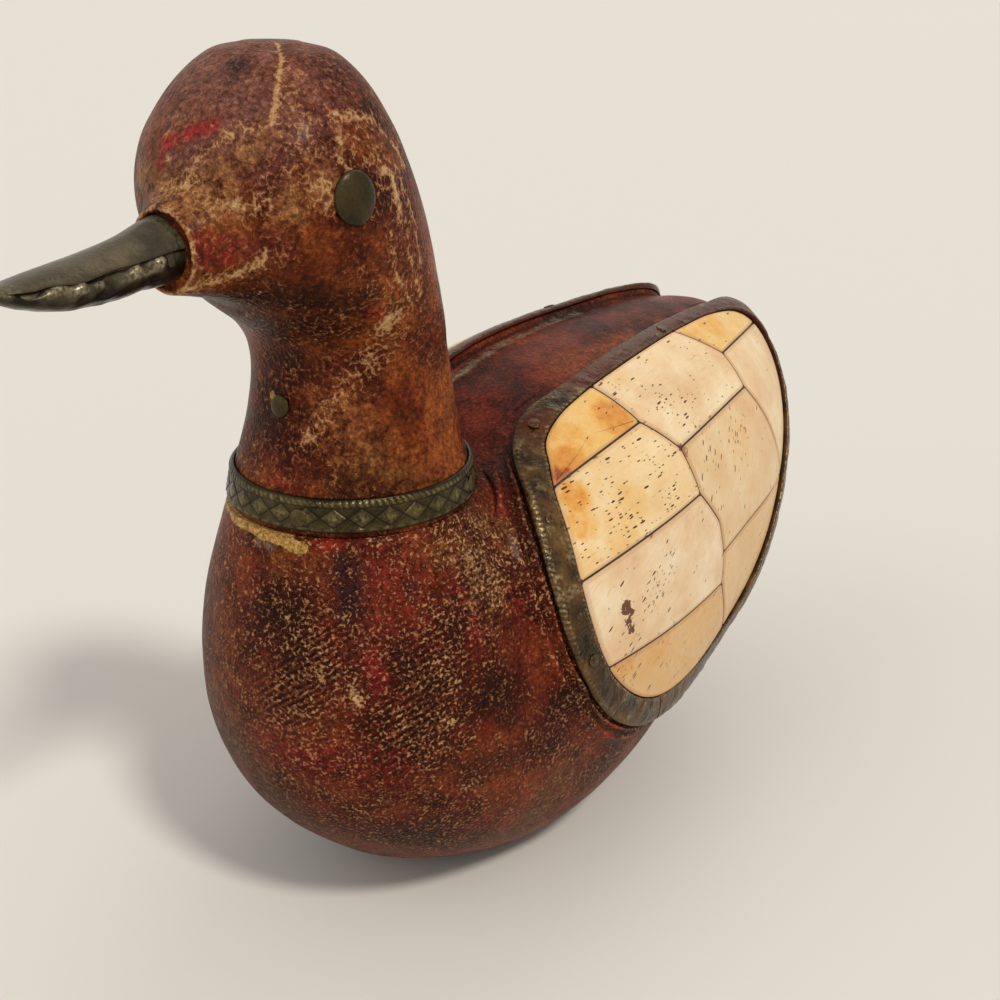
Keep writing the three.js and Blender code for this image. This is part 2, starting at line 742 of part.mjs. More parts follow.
SIDES.forEach(([hand, side]) => {
  bodyAdds.push(toSolid(slab([outerPlaces, innerPlaces], WING_RINGS,
    -WING_ROOT_DEPTH, WING_RAISE, side)));
  bodyCuts.push(toSolid(slab([innerPlaces], WING_RINGS,
    POCKET_FLOOR, WING_RAISE + CUTTER_PAST, side)));

  let bed = toSolid(slab([bedPlaces], WING_RINGS, POCKET_FLOOR + TILE_GAP, BED_TOP, side));
  WING_PLATES.forEach(([name, corners]) => {
    const outline = plateOutline(corners);
    const pocket = drawnIn(outline, TILE_JOINT - TILE_GAP);
    const plate = drawnIn(outline, TILE_JOINT);
    bed = bed.subtract(toSolid(slab([pocket], PLATE_RINGS,
      TILE_POCKET_FLOOR, BED_TOP + CUTTER_PAST, side)));
    const stained = name === 'front_top' || name === 'rear_top';
    add(`${hand}_wing_plate_${name}`,
      slab([plate], PLATE_RINGS, TILE_POCKET_FLOOR + TILE_GAP, TILE_TOP, side),
      stained ? STAINED_BONE : BONE);
  });
  add(`${hand}_wing_resin_bed`, fromSolid(bed), RESIN);

  const ends = [
    ['front', FRONT_STRIP_TOP, FRONT_STRIP_BOTTOM],
    ['rear', FRONT_STRIP_BOTTOM, FRONT_STRIP_TOP + WING_STATIONS],
  ];
  const nailPlaces = STRIP_NAIL_STATIONS.map((s) => {
    const { outer, inner } = edgePair(s);
    return onBody(middleOf([outer, inner]), WING_RAISE + STRIP_GAP + STRIP_THICKNESS, side);
  });
  const holes = nailPlaces.map(({ point, out }) => toSolid(
    tackHole(point, out, TACK_SHANK_RADIUS + TACK_CLEARANCE,
      TACK_SHANK_LENGTH + BORE_END_GAP, TACK_SIDES)));
  ends.forEach(([place, from, to]) => {
    const strip = toSolid(wingStrip(from, to, side));
    add(`${hand}_wing_${place}_strip`, fromSolid(minus(strip, holes)), DARK_BRASS);
  });
  bodyCuts.push(...holes);
  nailPlaces.forEach(({ point, out }, k) => {
    add(`${hand}_wing_strip_nail_${k + 1}`,
      tack(point, out, TACK_HEAD_RADIUS, TACK_HEAD_EDGE, TACK_HEAD_DOME, TACK_HEAD_GAP,
        TACK_SHANK_RADIUS, TACK_SHANK_LENGTH, TACK_SIDES), DARK_BRASS);
  });

  const eye = onHead(EYE_RISE, side * EYE_DEGREES);
  headCuts.push(toSolid(rod(EYE_RADIUS + EYE_SEAT_GAP, -EYE_SEAT_DEPTH, CUTTER_PAST,
    eye.point, eye.out, 2 * ROUND_SIDES)));
  headCuts.push(toSolid(rod(EYE_SHANK_RADIUS + TACK_CLEARANCE,
    -EYE_SEAT_DEPTH - EYE_SHANK_LENGTH - BORE_END_GAP, 0, eye.point, eye.out, TACK_SIDES)));
  const eyeBase = eye.point.clone().addScaledVector(eye.out, -EYE_SEAT_DEPTH);
  add(`${hand}_eye_tack`,
    tack(eyeBase, eye.out, EYE_RADIUS, EYE_EDGE, EYE_DOME, EYE_SEAT_GAP,
      EYE_SHANK_RADIUS, EYE_SHANK_LENGTH, 2 * ROUND_SIDES), DARK_BRASS);
});

const up = vec(0, 0, 1);
const seat = vec(0, 0, SEAT_HEIGHT);
add('neck_dowel', rod(DOWEL_RADIUS, -DOWEL_DEPTH_IN_BODY, DOWEL_DEPTH_IN_NECK,
  seat, up, 2 * ROUND_SIDES), BARE_WOOD);
const dowelBore = toSolid(rod(DOWEL_RADIUS + DOWEL_CLEARANCE, -DOWEL_DEPTH_IN_BODY - BORE_END_GAP,
  DOWEL_DEPTH_IN_NECK + BORE_END_GAP, seat, up, 2 * ROUND_SIDES));

const neckNail = onHead(NECK_NAIL_RISE, 0);
add('neck_nail', tack(neckNail.point, neckNail.out, NECK_NAIL_HEAD_RADIUS, TACK_HEAD_EDGE,
  NECK_NAIL_HEAD_DOME, TACK_HEAD_GAP, NECK_NAIL_SHANK_RADIUS, NECK_NAIL_SHANK_LENGTH,
  ROUND_SIDES), DARK_BRASS);
headCuts.push(toSolid(tackHole(neckNail.point, neckNail.out,
  NECK_NAIL_SHANK_RADIUS + TACK_CLEARANCE, NECK_NAIL_SHANK_LENGTH + BORE_END_GAP, TACK_SIDES)));

let collar = toSolid(collarBand());
COLLAR_NAIL_ANGLES.forEach((degrees, k) => {
  const { point, out } = onHead(COLLAR_RISE + COLLAR_HEIGHT / 2, degrees,
    COLLAR_GAP + COLLAR_THICKNESS);
  const hole = toSolid(tackHole(point, out, TACK_SHANK_RADIUS + TACK_CLEARANCE,
    TACK_SHANK_LENGTH + BORE_END_GAP, TACK_SIDES));
  collar = collar.subtract(hole);
  headCuts.push(hole);
  add(`collar_nail_${k + 1}`, tack(point, out, TACK_HEAD_RADIUS, TACK_HEAD_EDGE, TACK_HEAD_DOME,
    TACK_HEAD_GAP, TACK_SHANK_RADIUS, TACK_SHANK_LENGTH, TACK_SIDES), DARK_BRASS);
});
add('collar_band', fromSolid(collar), DARK_BRASS);

// Bill: wood core with a round tenon, covered by two brass sheets.
const back = vec(0, 1, 0);
const tenonAt = vec(0, 0, aboveSeat(TENON_RISE));
const headGrown = toSolid(headLoft(BILL_ROOT_GAP));
const coreShrink = BILL_SHEET + BILL_CORE_GAP;
const tenon = toSolid(rod(TENON_RADIUS, TENON_FRONT_Y, TENON_BACK_Y, tenonAt, back, ROUND_SIDES));
const bossGrown = toSolid(bossLoft(BILL_ROOT_GAP));
const core = minus(toSolid(billLoft(coreShrink)), [headGrown, bossGrown]).add(tenon);
add('bill_wood_core', fromSolid(core), BARE_WOOD);
headCuts.push(toSolid(rod(TENON_RADIUS + TENON_CLEARANCE, TENON_FRONT_Y - CUTTER_PAST,
  TENON_BACK_Y + BORE_END_GAP, tenonAt, back, ROUND_SIDES)));
const sheet = minus(toSolid(billLoft(0)),
  [toSolid(billLoft(BILL_SHEET)), headGrown, bossGrown]);
add('bill_upper_sheet', fromSolid(sheet.intersect(creaseHalf(true))), DARK_BRASS);
add('bill_lower_sheet', fromSolid(sheet.intersect(creaseHalf(false))), DARK_BRASS);

const head = minus(toSolid(headLoft()).add(toSolid(bossLoft())), [dowelBore, ...headCuts]);
add('neck_and_head_block', fromSolid(head), PAINTED_WOOD);

// The underside is sawn flat where the duck stands.
const tableBox = new THREE.BoxGeometry(2 * STERN_Y, 2 * STERN_Y, CUTTER_REACH);
tableBox.translate(0, CENTRE_Y, -CUTTER_REACH / 2);
const tableCut = toSolid(tableBox);
const wings = bodyAdds.reduce((s, c) => s.add(c), toSolid(bodyLoft()));
add('body_block', fromSolid(minus(wings, [dowelBore, tableCut, ...bodyCuts])), PAINTED_WOOD);

export default group;
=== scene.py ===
from functools import partial
import math

import bpy
import numpy as np
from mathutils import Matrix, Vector


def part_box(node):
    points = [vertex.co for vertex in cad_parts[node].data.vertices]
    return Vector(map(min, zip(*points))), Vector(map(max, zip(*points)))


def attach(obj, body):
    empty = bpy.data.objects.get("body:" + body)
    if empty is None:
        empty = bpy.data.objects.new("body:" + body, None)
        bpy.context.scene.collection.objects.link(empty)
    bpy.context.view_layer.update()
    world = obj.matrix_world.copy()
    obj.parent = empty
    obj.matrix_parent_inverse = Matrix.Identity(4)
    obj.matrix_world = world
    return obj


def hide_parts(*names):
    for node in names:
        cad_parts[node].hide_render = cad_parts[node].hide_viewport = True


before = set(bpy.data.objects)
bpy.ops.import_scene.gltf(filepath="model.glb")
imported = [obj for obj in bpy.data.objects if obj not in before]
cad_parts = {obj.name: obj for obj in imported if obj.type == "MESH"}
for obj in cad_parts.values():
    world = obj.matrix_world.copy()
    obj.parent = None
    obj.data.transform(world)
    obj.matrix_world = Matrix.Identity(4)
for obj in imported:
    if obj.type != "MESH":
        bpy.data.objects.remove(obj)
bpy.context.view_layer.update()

# Sizes are in millimetres and degrees. Places are measured from the neck axis
# and the table: +Y runs to the tail, +X is the left side, +Z is up.
MM = 0.001
dowel_low, dowel_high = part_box("neck_dowel")
NECK_AXIS = np.array([0.0, (dowel_low.y + dowel_high.y) / 2, 0.0])

# Body. Row: back y, back z, belly y, belly z, half width, squareness of the ring.
SEAT_HEIGHT = 96
BODY_ROWS = np.array([
    [26, 96, -26, 96, 25.5, 2.0],
    [29, 97, -30.5, 78, 30.5, 2.0],
    [33, 99, -32.5, 57, 35, 2.0],
    [38, 102, -28.5, 36.5, 38.7, 2.1],
    [45, 105, -17.5, 20, 42.3, 2.15],
    [54, 107, 0, 6.5, 44.8, 2.2],
    [66, 109, 26, -3.5, 45.8, 2.25],
    [82, 110, 54, -3.5, 44.4, 2.25],
    [102, 110, 83, 5.5, 41, 2.2],
    [124, 109, 112, 16, 36.5, 2.2],
    [142, 106, 134, 30, 28.5, 2.1],
    [154, 98, 150, 49, 16.5, 2.0],
    [159, 84, 158, 68, 7, 2.0],
])
STERN = [0, 159.8, 76]

# Neck and head. Row: height above the seat, reach forward, reach back, half width.
HEAD_ROWS = np.array([
    [0.3, 25, 25, 25.3],
    [10, 22.9, 23.4, 23.5],
    [20, 20.8, 22, 21.2],
    [30, 19.6, 20.4, 20.3],
    [37, 21.4, 18.2, 21.8],
    [45, 30.4, 15.5, 24],
    [55, 39.6, 12.8, 25.6],
    [65, 43, 9.4, 25.7],
    [75, 40.6, 4.6, 24],
    [83.5, 34, -0.6, 19.5],
    [89.4, 26.6, -6.6, 13.4],
    [91.4, 21.4, -12, 6],
])
CROWN = [0, -16.5, 187.9]

# Bill. Row: y, rise of the middle above the seat, half height, half width.
BILL_ROWS = np.array([
    [-36, 59.6, 6.6, 7.4],
    [-42, 59.6, 6.6, 7.4],
    [-47, 59.3, 6.1, 7.2],
    [-53, 58.3, 5.1, 7.2],
    [-60, 57.6, 4.6, 7.0],
    [-68, 57.3, 4.0, 6.5],
    [-75, 57.8, 2.8, 5.4],
    [-79, 58.6, 1.6, 3.6],
])
BILL_ROOT_Y = -45.2
BILL_TIP_Y = -80.8
BILL_TIP_RISE = 59.2
BILL_SHEET = 0.9
# Crease between its upper and lower sheet. Row: y, rise.
BILL_CREASE = np.array([
    [-44, 60.9],
    [-49, 60.8],
    [-54, 60.4],
    [-60, 60.0],
    [-65, 59.4],
    [-68, 59.1],
    [-72, 59.4],
    [-76, 59.3],
    [-81, 59.4],
])

# Boss of wood that the bill comes out of: its front ring, and how far it
# flares over the head above, below and to the sides.
BOSS_FRONT_Y = -46.3
BOSS_ASIDE = 1.6
BOSS_RISE = 59.5
BOSS_HALF_HEIGHT = 7.6
BOSS_HALF_WIDTH = 7.8
BOSS_FLARE_ABOVE = 5
BOSS_FLARE_BELOW = 7.5
BOSS_FLARE_ASIDE = 7

# Wing edge. Outer edge of the wing and inner edge of its brass strip, as
# [y, degrees round the body from the back line].
WING_EDGE = np.array([
    [50, 18.5, 57, 23.5],
    [41, 20, 46, 25.9],
    [33.8, 26.5, 37.6, 31.4],
    [27.9, 37.4, 32.7, 39.9],
    [23, 49.3, 28, 49.9],
    [18.7, 61.2, 24.4, 62],
    [15.9, 73, 22.2, 73],
    [16, 84.5, 22.5, 82],
    [21.1, 93.3, 25.3, 88.8],
    [28.7, 99.2, 31.8, 93.7],
    [39.3, 103.4, 40.5, 97.4],
    [54, 106.8, 52.5, 100.3],
    [72, 110, 71, 103],
    [91, 113, 88, 106],
    [108, 112, 102, 105],
    [122, 104.5, 113.5, 98.5],
    [133, 93, 124.5, 88],
    [141, 79, 132.5, 75.5],
    [146.5, 63, 138.5, 61],
    [149, 47, 141.5, 47],
    [147.5, 32, 140.5, 35],
    [140, 20, 133, 26],
    [125, 17.5, 120, 22.5],
    [106, 17, 104, 22],
    [87, 17, 88, 22],
    [68, 17.5, 71, 22.5],
])
WING_RAISE = 2.2
STRIP_GAP = 0.3
STRIP_THICKNESS = 0.8
STRIP_TOP = WING_RAISE + STRIP_GAP + STRIP_THICKNESS
STRIP_CROWN = 0.22
BED_TOP = 2.95
BED_BOTTOM = 0.8
TILE_TOP = 3.25
TILE_BOTTOM = 1.7
TILE_JOINT = 0.22

# Corners of the bone plates of one wing. A number is a station on the wing edge, a pair is a
# place inside the wing.
NODE_ABE = (61, 39)
NODE_BEF = (69, 50.5)
NODE_BCF = (70.5, 63.5)
NODE_CF = (77.5, 73.5)
NODE_CFG = (79, 82)
NODE_CDG = (78.5, 89)
NODE_EFHI = (110, 50)
NODE_EHI = (109.5, 37)
NODE_FI_UPPER = (115, 61)
NODE_FI_LOWER = (120, 74)
EDGE_AE, EDGE_AB, EDGE_BC, EDGE_CD = 25.9, 3.75, 5.95, 8.15
EDGE_DG, EDGE_FG, EDGE_HI, EDGE_EH = 12.9, 16.1, 20.0, 23.3

# Bone plates of one wing: corners, direction of the grain in degrees, how far a plate is stained
# all over, how many pores it has all over, and how far it has aged to tan. Stains and clusters
# of pores are [y, degrees, radius, strength], and specks, which are dark, [y, degrees, radius].
PLAIN_PLATE = dict(aged=0.0, stains=[], clusters=[], specks=[])
WING_PLATES = {
    "front_top": dict(
        corners=[EDGE_AE, EDGE_AB, NODE_ABE],
        grain=20, stained=0.4, pores=0.1,
        stains=[(55.5, 34, 7, 0.78), (36.5, 41, 6.5, 0.75), (32.5, 45, 4.5, 1.1), (41, 35, 9, 0.55),
                (62, 30, 6, 0.5)]),
    "front_upper": dict(
        corners=[EDGE_AB, EDGE_BC, NODE_BCF, NODE_BEF, NODE_ABE],
        grain=2, stained=0.24, pores=0.6,
        stains=[(31.5, 51, 5, 0.7), (29, 58, 6, 0.55), (26, 68, 6, 0.38), (45, 56, 7, 0.42),
                (38, 62, 8, 0.4)],
        clusters=[(40, 60, 9, 0.9), (58, 60, 7, 0.8)],
        specks=[(69, 50.5, 1.2)]),
    "front_lower": dict(
        corners=[EDGE_BC, EDGE_CD, NODE_CDG, NODE_CFG, NODE_CF, NODE_BCF],
        grain=26, stained=0.03, pores=0.12, aged=0.12,
        clusters=[(45, 77, 7, 1.0), (52, 72, 5, 0.6), (34, 84, 5, 0.7)],
        specks=[(33.2, 78.4, 1.9), (34.8, 79.6, 1.0), (33.7, 81.2, 1.1), (34.2, 83.0, 1.2)]),
    "front_bottom": dict(
        corners=[EDGE_CD, EDGE_DG, NODE_CDG],
        grain=30, stained=0.42, pores=0.2, aged=0.36,
        stains=[(31.5, 89, 6, 0.6), (45, 88, 8, 0.52)],
        clusters=[(33, 91, 5, 1.0)]),
    "middle_top": dict(
        corners=[EDGE_EH, EDGE_AE, NODE_ABE, NODE_BEF, NODE_EFHI, NODE_EHI],
        grain=8, stained=0.1, pores=0.2, aged=0.05,
        stains=[(66, 24, 5, 0.3), (81, 22, 6, 0.25)],
        clusters=[(72.5, 37, 6, 1.0), (79, 42, 7, 0.6), (62, 27, 5, 0.9)],
        specks=[(69, 50.5, 1.2)]),
    "middle_centre": dict(
        corners=[NODE_BEF, NODE_BCF, NODE_CF, NODE_CFG, EDGE_FG, NODE_FI_LOWER, NODE_FI_UPPER,
                 NODE_EFHI],
        grain=50, stained=0.18, pores=0.2, aged=0.24,
        stains=[(96, 62, 9, 0.34)],
        clusters=[(99, 60, 8, 0.7), (80, 56, 8, 0.5)],
        specks=[(69.6, 51.4, 1.5)]),
    "middle_bottom": dict(
        corners=[NODE_CFG, NODE_CDG, EDGE_DG, EDGE_FG],
        grain=20, stained=0.32, pores=0.15, aged=0.28),
    "rear_top": dict(
        corners=[EDGE_HI, EDGE_EH, NODE_EHI],
        grain=10, stained=0.3, pores=0.1, aged=0.08,
        stains=[(115, 25, 8, 0.55), (105, 26, 6, 0.5), (128, 30, 6, 0.4)]),
    "rear_edge": dict(
        corners=[EDGE_FG, EDGE_HI, NODE_EHI, NODE_EFHI, NODE_FI_UPPER, NODE_FI_LOWER],
        grain=60, stained=0.08, pores=0.05, aged=0.08),
}
STAINED_PLATES = ("front_top", "rear_top")

# Stations where the front strip starts and ends, and where nails hold the two strips.
FRONT_STRIP_TOP = 0.95
FRONT_STRIP_BOTTOM = 10.667
STRIP_NAIL_STATIONS = (1.6, 4.6, 7.6, 12.5, 18.0, 23.5)

# Collar, eyes and nails.
COLLAR_RISE = 1.5
COLLAR_HEIGHT = 6.4
COLLAR_FACE = 0.75
COLLAR_INSIDE = 0.125
COLLAR_RELIEF = 0.4
COLLAR_NAIL_ANGLES = (17, 111, 201, 281)
EYE_RISE = 67.4
EYE_DEGREES = 76
EYE_RADIUS = 4.75
NECK_NAIL_RISE = 24
TACK_RADIUS = 1.4


# Ways of making a surface

# Steps of the search for a place on the body, and how far each looks, in mm and degrees.
PRESS_STEPS = 3
PRESS_REACH = 0.1
# Distances in mm between the points of each piece along the wing edge.
RIM_STEP = 0.6
PLATE_STEP = 0.8
BED_STEP = 1.0
STRIP_STEP = 0.27


def rows_at(rows, t, closed=False):
    """Catmull-Rom curve through rows, at place t counted in rows. An open curve runs on straight
    before its first row and after its last."""
    t = np.asarray(t, float)
    if closed:
        i = np.floor(t).astype(int)
        before, here, there, after = (rows[(i + k) % len(rows)] for k in (-1, 0, 1, 2))
    else:
        padded = np.vstack([2 * rows[0] - rows[1], rows, 2 * rows[-1] - rows[-2]])
        t = np.clip(t, 0, len(rows) - 1)
        i = np.minimum(np.floor(t).astype(int), len(rows) - 2)
        before, here, there, after = (padded[i + k] for k in (0, 1, 2, 3))
    f = (t - i)[..., None]
    slope = there - before
    bend = 2 * before - 5 * here + 4 * there - after
    twist = -before + 3 * here - 3 * there + after
    return 0.5 * (2 * here + slope * f + bend * f ** 2 + twist * f ** 3)


def signed_power(value, power):
    """Power of a value's size, with the value's sign."""
    return np.sign(value) * np.abs(value) ** power


def smooth(value):
    """0 below 0, 1 above 1 and a soft S between."""
    value = np.clip(value, 0, 1)
    return value * value * (3 - 2 * value)


def hump(value, middle, width):
    """1 at the middle and falling off like a bell, to 0.37 at that width from it."""
    return np.exp(-((value - middle) / width) ** 2)


def lumps(points, size, seed):
    """Smooth random swelling between -1 and 1: a random value at each corner of a lattice of that
    size, blended softly between the corners."""
    place = points / size + 17.3 * seed
    cell = np.floor(place)
    blend = place - cell
    blend = blend * blend * (3 - 2 * blend)
    total = 0
    for corner in np.ndindex(2, 2, 2):
        mixed = np.sin((cell + corner) @ np.array([127.1, 311.7, 74.7])) * 43758.5453
        value = 2 * (mixed - np.floor(mixed)) - 1
        total = total + value * np.prod(np.where(corner, blend, 1 - blend), axis=-1)
    return total


def unit(vectors):
    """Vectors divided by their lengths."""
    return vectors / np.linalg.norm(vectors, axis=-1, keepdims=True)


def run_lengths(points):
    """Length of a row of points from its start to each of them."""
    steps = np.linalg.norm(np.diff(points, axis=0), axis=-1)
    return np.concatenate([[0], np.cumsum(steps)])


def body_point(station, degrees):
    """Ring of a superellipse between the back line and the belly line, tilted with them."""
    row = rows_at(BODY_ROWS, station)
    angle = np.radians(degrees)
    power = 2 / row[..., 5]
    across = signed_power(np.sin(angle), power)
    down = -signed_power(np.cos(angle), power)
    middle = (row[..., 0:2] + row[..., 2:4]) / 2
    half = (row[..., 2:4] - row[..., 0:2]) / 2
    side = middle + half * down[..., None]
    return np.concatenate([(row[..., 4] * across)[..., None], side], axis=-1)


def station_at(y, degrees):
    """Station whose ring passes y at that angle, found by halving."""
    low = np.ones(np.shape(y))
    high = np.full(np.shape(y), len(BODY_ROWS) - 1.0)
    for _ in range(30):
        middle = (low + high) / 2
        short = body_point(middle, degrees)[..., 1] < y
        low = np.where(short, middle, low)
        high = np.where(short, high, middle)
    return (low + high) / 2


def body_out(station, degrees):
    """Outward direction of the bare body, away from the middle of its ring."""
    along = body_point(station + 0.02, degrees) - body_point(station - 0.02, degrees)
    around = body_point(station, degrees + 1) - body_point(station, degrees - 1)
    out = unit(np.cross(along, around))
    row = rows_at(BODY_ROWS, station)
    middle = (row[..., 0:2] + row[..., 2:4]) / 2
    away = body_point(station, degrees) - np.concatenate([0 * row[..., 0:1], middle], axis=-1)
    return out * np.sign((out * away).sum(axis=-1, keepdims=True))


def on_body(places, lift=0.0):
    """Points over the left half of the body at places [y, degrees], raised by lift."""
    places = np.asarray(places, float)
    station = station_at(places[..., 0], places[..., 1])
    lift = np.asarray(lift, float)[..., None]
    return body_point(station, places[..., 1]) + body_out(station, places[..., 1]) * lift


def head_point(station, degrees, grow=0.0):
    """Oval ring about the neck axis, with its own reach forward and back at each height."""
    rise, front, rear, half = np.moveaxis(rows_at(HEAD_ROWS, station), -1, 0)
    angle = np.radians(degrees)
    reach = (rear + front) / 2 + grow
    x = (half + grow) * np.sin(angle)
    y = (rear - front) / 2 - reach * np.cos(angle)
    return np.stack(np.broadcast_arrays(x, y, SEAT_HEIGHT + rise), axis=-1)


HEAD_STATIONS = np.linspace(0, len(HEAD_ROWS) - 1, 2000)
HEAD_RISES = rows_at(HEAD_ROWS, HEAD_STATIONS)[:, 0]


def on_head(rise, degrees, grow=0.0):
    """Point at a height above the seat, degrees from the front towards the left side."""
    return head_point(np.interp(rise, HEAD_RISES, HEAD_STATIONS), degrees, grow)


def head_out(rise, degrees):
    """Outward direction of the neck and head."""
    upward = on_head(rise + 0.2, degrees) - on_head(rise - 0.2, degrees)
    around = on_head(rise, degrees + 1) - on_head(rise, degrees - 1)
    return unit(np.cross(around, upward))


def head_front(x, rise):
    """Point of the front of the head at a place across it and a height above the seat."""
    station = np.interp(rise, HEAD_RISES, HEAD_STATIONS)
    _, front, rear, half = np.moveaxis(rows_at(HEAD_ROWS, station), -1, 0)
    y = (rear - front) / 2 - (rear + front) / 2 * np.sqrt(1 - np.clip(x / half, -0.98, 0.98) ** 2)
    return np.stack([x, y, SEAT_HEIGHT + rise], axis=-1)


def pressed(targets, lift, places):
    """Places on the body whose lifted points lie nearest the targets, by Gauss-Newton steps from
    places near them."""
    for _ in range(PRESS_STEPS):
        point = on_body(places, lift)
        by_y = (on_body(places + [PRESS_REACH, 0], lift) - point) / PRESS_REACH
        by_turn = (on_body(places + [0, PRESS_REACH], lift) - point) / PRESS_REACH
        change = np.linalg.pinv(np.stack([by_y, by_turn], axis=-1)) @ (targets - point)[..., None]
        places = places + change[..., 0]
    return places


def edge_pair(station):
    """Outer and inner edge of the strip at a station of the wing edge, and its width."""
    row = rows_at(WING_EDGE, station, closed=True)
    outer, inner = row[..., 0:2], row[..., 2:4]
    span = on_body(outer, WING_RAISE) - on_body(inner, WING_RAISE)
    return outer, inner, np.linalg.norm(span, axis=-1)


def edge_place(station, inset, share=0.0):
    """Place on the wing edge, moved inward by a share of the strip's width and by some mm."""
    outer, inner, width = edge_pair(station)
    return outer + (inner - outer) * (share + inset / width)[..., None]


EDGE_COUNT = len(WING_EDGE)
EDGE_STATIONS = np.linspace(0, 2 * EDGE_COUNT, 2401)
EDGE_LENGTHS = run_lengths(on_body(edge_pair(EDGE_STATIONS)[0], WING_RAISE))


def even_edge_stations(start, end, step):
    """Stations from start to end of the wing edge that lie a step of mm apart."""
    first, last = np.interp([start, end], EDGE_STATIONS, EDGE_LENGTHS)
    lengths = np.linspace(first, last, int((last - first) / step) + 1)
    return np.interp(lengths, EDGE_LENGTHS, EDGE_STATIONS), lengths


def loft_faces(rings, around, ends):
    """Quads between neighbouring rings. Ends are "poles", with a fan of triangles to one point
    after each end ring, "loop", with the last ring joined to the first, or "paired", where a
    flat section is closed by quads from its outer half to its inner half."""
    r = np.arange(rings if ends == "loop" else rings - 1)[:, None]
    a = np.arange(around)[None, :]
    there = (r + 1) % rings
    side = (a + 1) % around
    quads = np.stack([r * around + a, r * around + side, there * around + side, there * around + a], -1)
    quads = quads.reshape(-1, 4)
    extra = np.zeros((0, 3), int)
    a = np.arange(around)
    if ends == "poles":
        foot = np.stack([np.full(around, rings * around), (a + 1) % around, a], -1)
        last = (rings - 1) * around
        head = np.stack([np.full(around, rings * around + 1), last + a, last + (a + 1) % around], -1)
        extra = np.vstack([foot, head])
    if ends == "paired":
        a = np.arange(around // 2 - 1)
        cap = np.stack([a, around - 1 - a, around - 2 - a, a + 1], -1)
        quads = np.vstack([quads, cap, (cap + (rings - 1) * around)[:, ::-1]])
    return quads, extra


def enclosed(points, quads, extra):
    """Six times the volume inside the faces, negative where they point inward."""
    triangles = np.vstack([quads[:, [0, 1, 2]], quads[:, [0, 2, 3]], extra])
    a, b, c = (points[triangles[:, k]] for k in range(3))
    return np.einsum("ij,ij->", a, np.cross(b, c))


def make_piece(name, rings, ends, material, nodes, poles=(), masks=None):
    """Mesh of a row of rings, with its poles, as a piece of the duck that stands for CAD nodes.
    Masks are values for each point of the rings and poles that the material reads."""
    count, around = rings.shape[:2]
    points = rings.reshape(-1, 3)
    if len(poles):
        points = np.vstack([points, poles])
    quads, extra = loft_faces(count, around, ends)
    if enclosed(points, quads, extra) < 0:
        quads, extra = quads[:, ::-1], extra[:, ::-1]
    mesh = bpy.data.meshes.new(name)
    corners = np.concatenate([quads.ravel(), extra.ravel()])
    totals = np.concatenate([np.full(len(quads), 4), np.full(len(extra), 3)])
    mesh.vertices.add(len(points))
    mesh.loops.add(len(corners))
    mesh.polygons.add(len(totals))
    mesh.vertices.foreach_set("co", (points * MM + NECK_AXIS).ravel())
    mesh.loops.foreach_set("vertex_index", corners)
    mesh.polygons.foreach_set("loop_start", np.cumsum(totals) - totals)
    mesh.polygons.foreach_set("use_smooth", np.ones(len(totals), bool))
    for mask, values in (masks or {}).items():
        wide = values.ndim == 2
        layer = mesh.attributes.new(mask, "FLOAT_VECTOR" if wide else "FLOAT", "POINT")
        layer.data.foreach_set("vector" if wide else "value", values.ravel())
    mesh.update(calc_edges=True)
    mesh.validate()
    mesh.materials.append(material)
    piece = bpy.data.objects.new(name, mesh)
    bpy.context.scene.collection.objects.link(piece)
    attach(piece, "root")
    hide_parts(*nodes)
    return piece


# Finishes

def linear(colour):
    """Linear colour of an sRGB hex value."""
    parts = [int(colour[k:k + 2], 16) / 255 for k in (1, 3, 5)]
    return [p / 12.92 if p <= 0.04045 else ((p + 0.055) / 1.055) ** 2.4 for p in parts] + [1]


def feed(node, inputs):
    """Links inputs of a node to others, or sets them to values or to colours given in hex. The
    inputs have names, or come in the node's own order."""
    for name, value in inputs.items() if isinstance(inputs, dict) else enumerate(inputs):
        if isinstance(value, bpy.types.NodeSocket):
            node.id_data.links.new(value, node.inputs[name])
        else:
            node.inputs[name].default_value = linear(value) if isinstance(value, str) else value


def add_node(tree, kind, inputs=(), output=0, stops=(), **settings):
    """Adds a shader node with its settings, inputs and colour stops, and returns one output."""
    made = tree.nodes.new("ShaderNode" + kind)
    for name, value in settings.items():
        setattr(made, name, value)
    feed(made, inputs)
    for k, (place, colour) in enumerate(stops):
        ramp = made.color_ramp.elements
        stop = ramp[k] if k < 2 else ramp.new(place)
        stop.position = place
        stop.color = linear(colour)
    return made.outputs[output]


def per_mm(size):
    """Scale of a texture on Object coordinates whose features are that many mm across."""
    return 1 / (size * MM)


def new_finish(name, **sockets):
    """Empty material with one main shader, whose even values are set on its own sockets. Comes
    with that shader and with the helper that adds nodes to it."""
    material = bpy.data.materials.new(name)
    material.use_nodes = True
    tree = material.node_tree
    tree.nodes.clear()
    shader = tree.nodes.new("ShaderNodeBsdfPrincipled")
    feed(shader, {socket.replace("_", " "): value for socket, value in sockets.items()})
    out = tree.nodes.new("ShaderNodeOutputMaterial")
    feed(out, {"Surface": shader.outputs[0]})
    return material, shader, partial(add_node, tree)


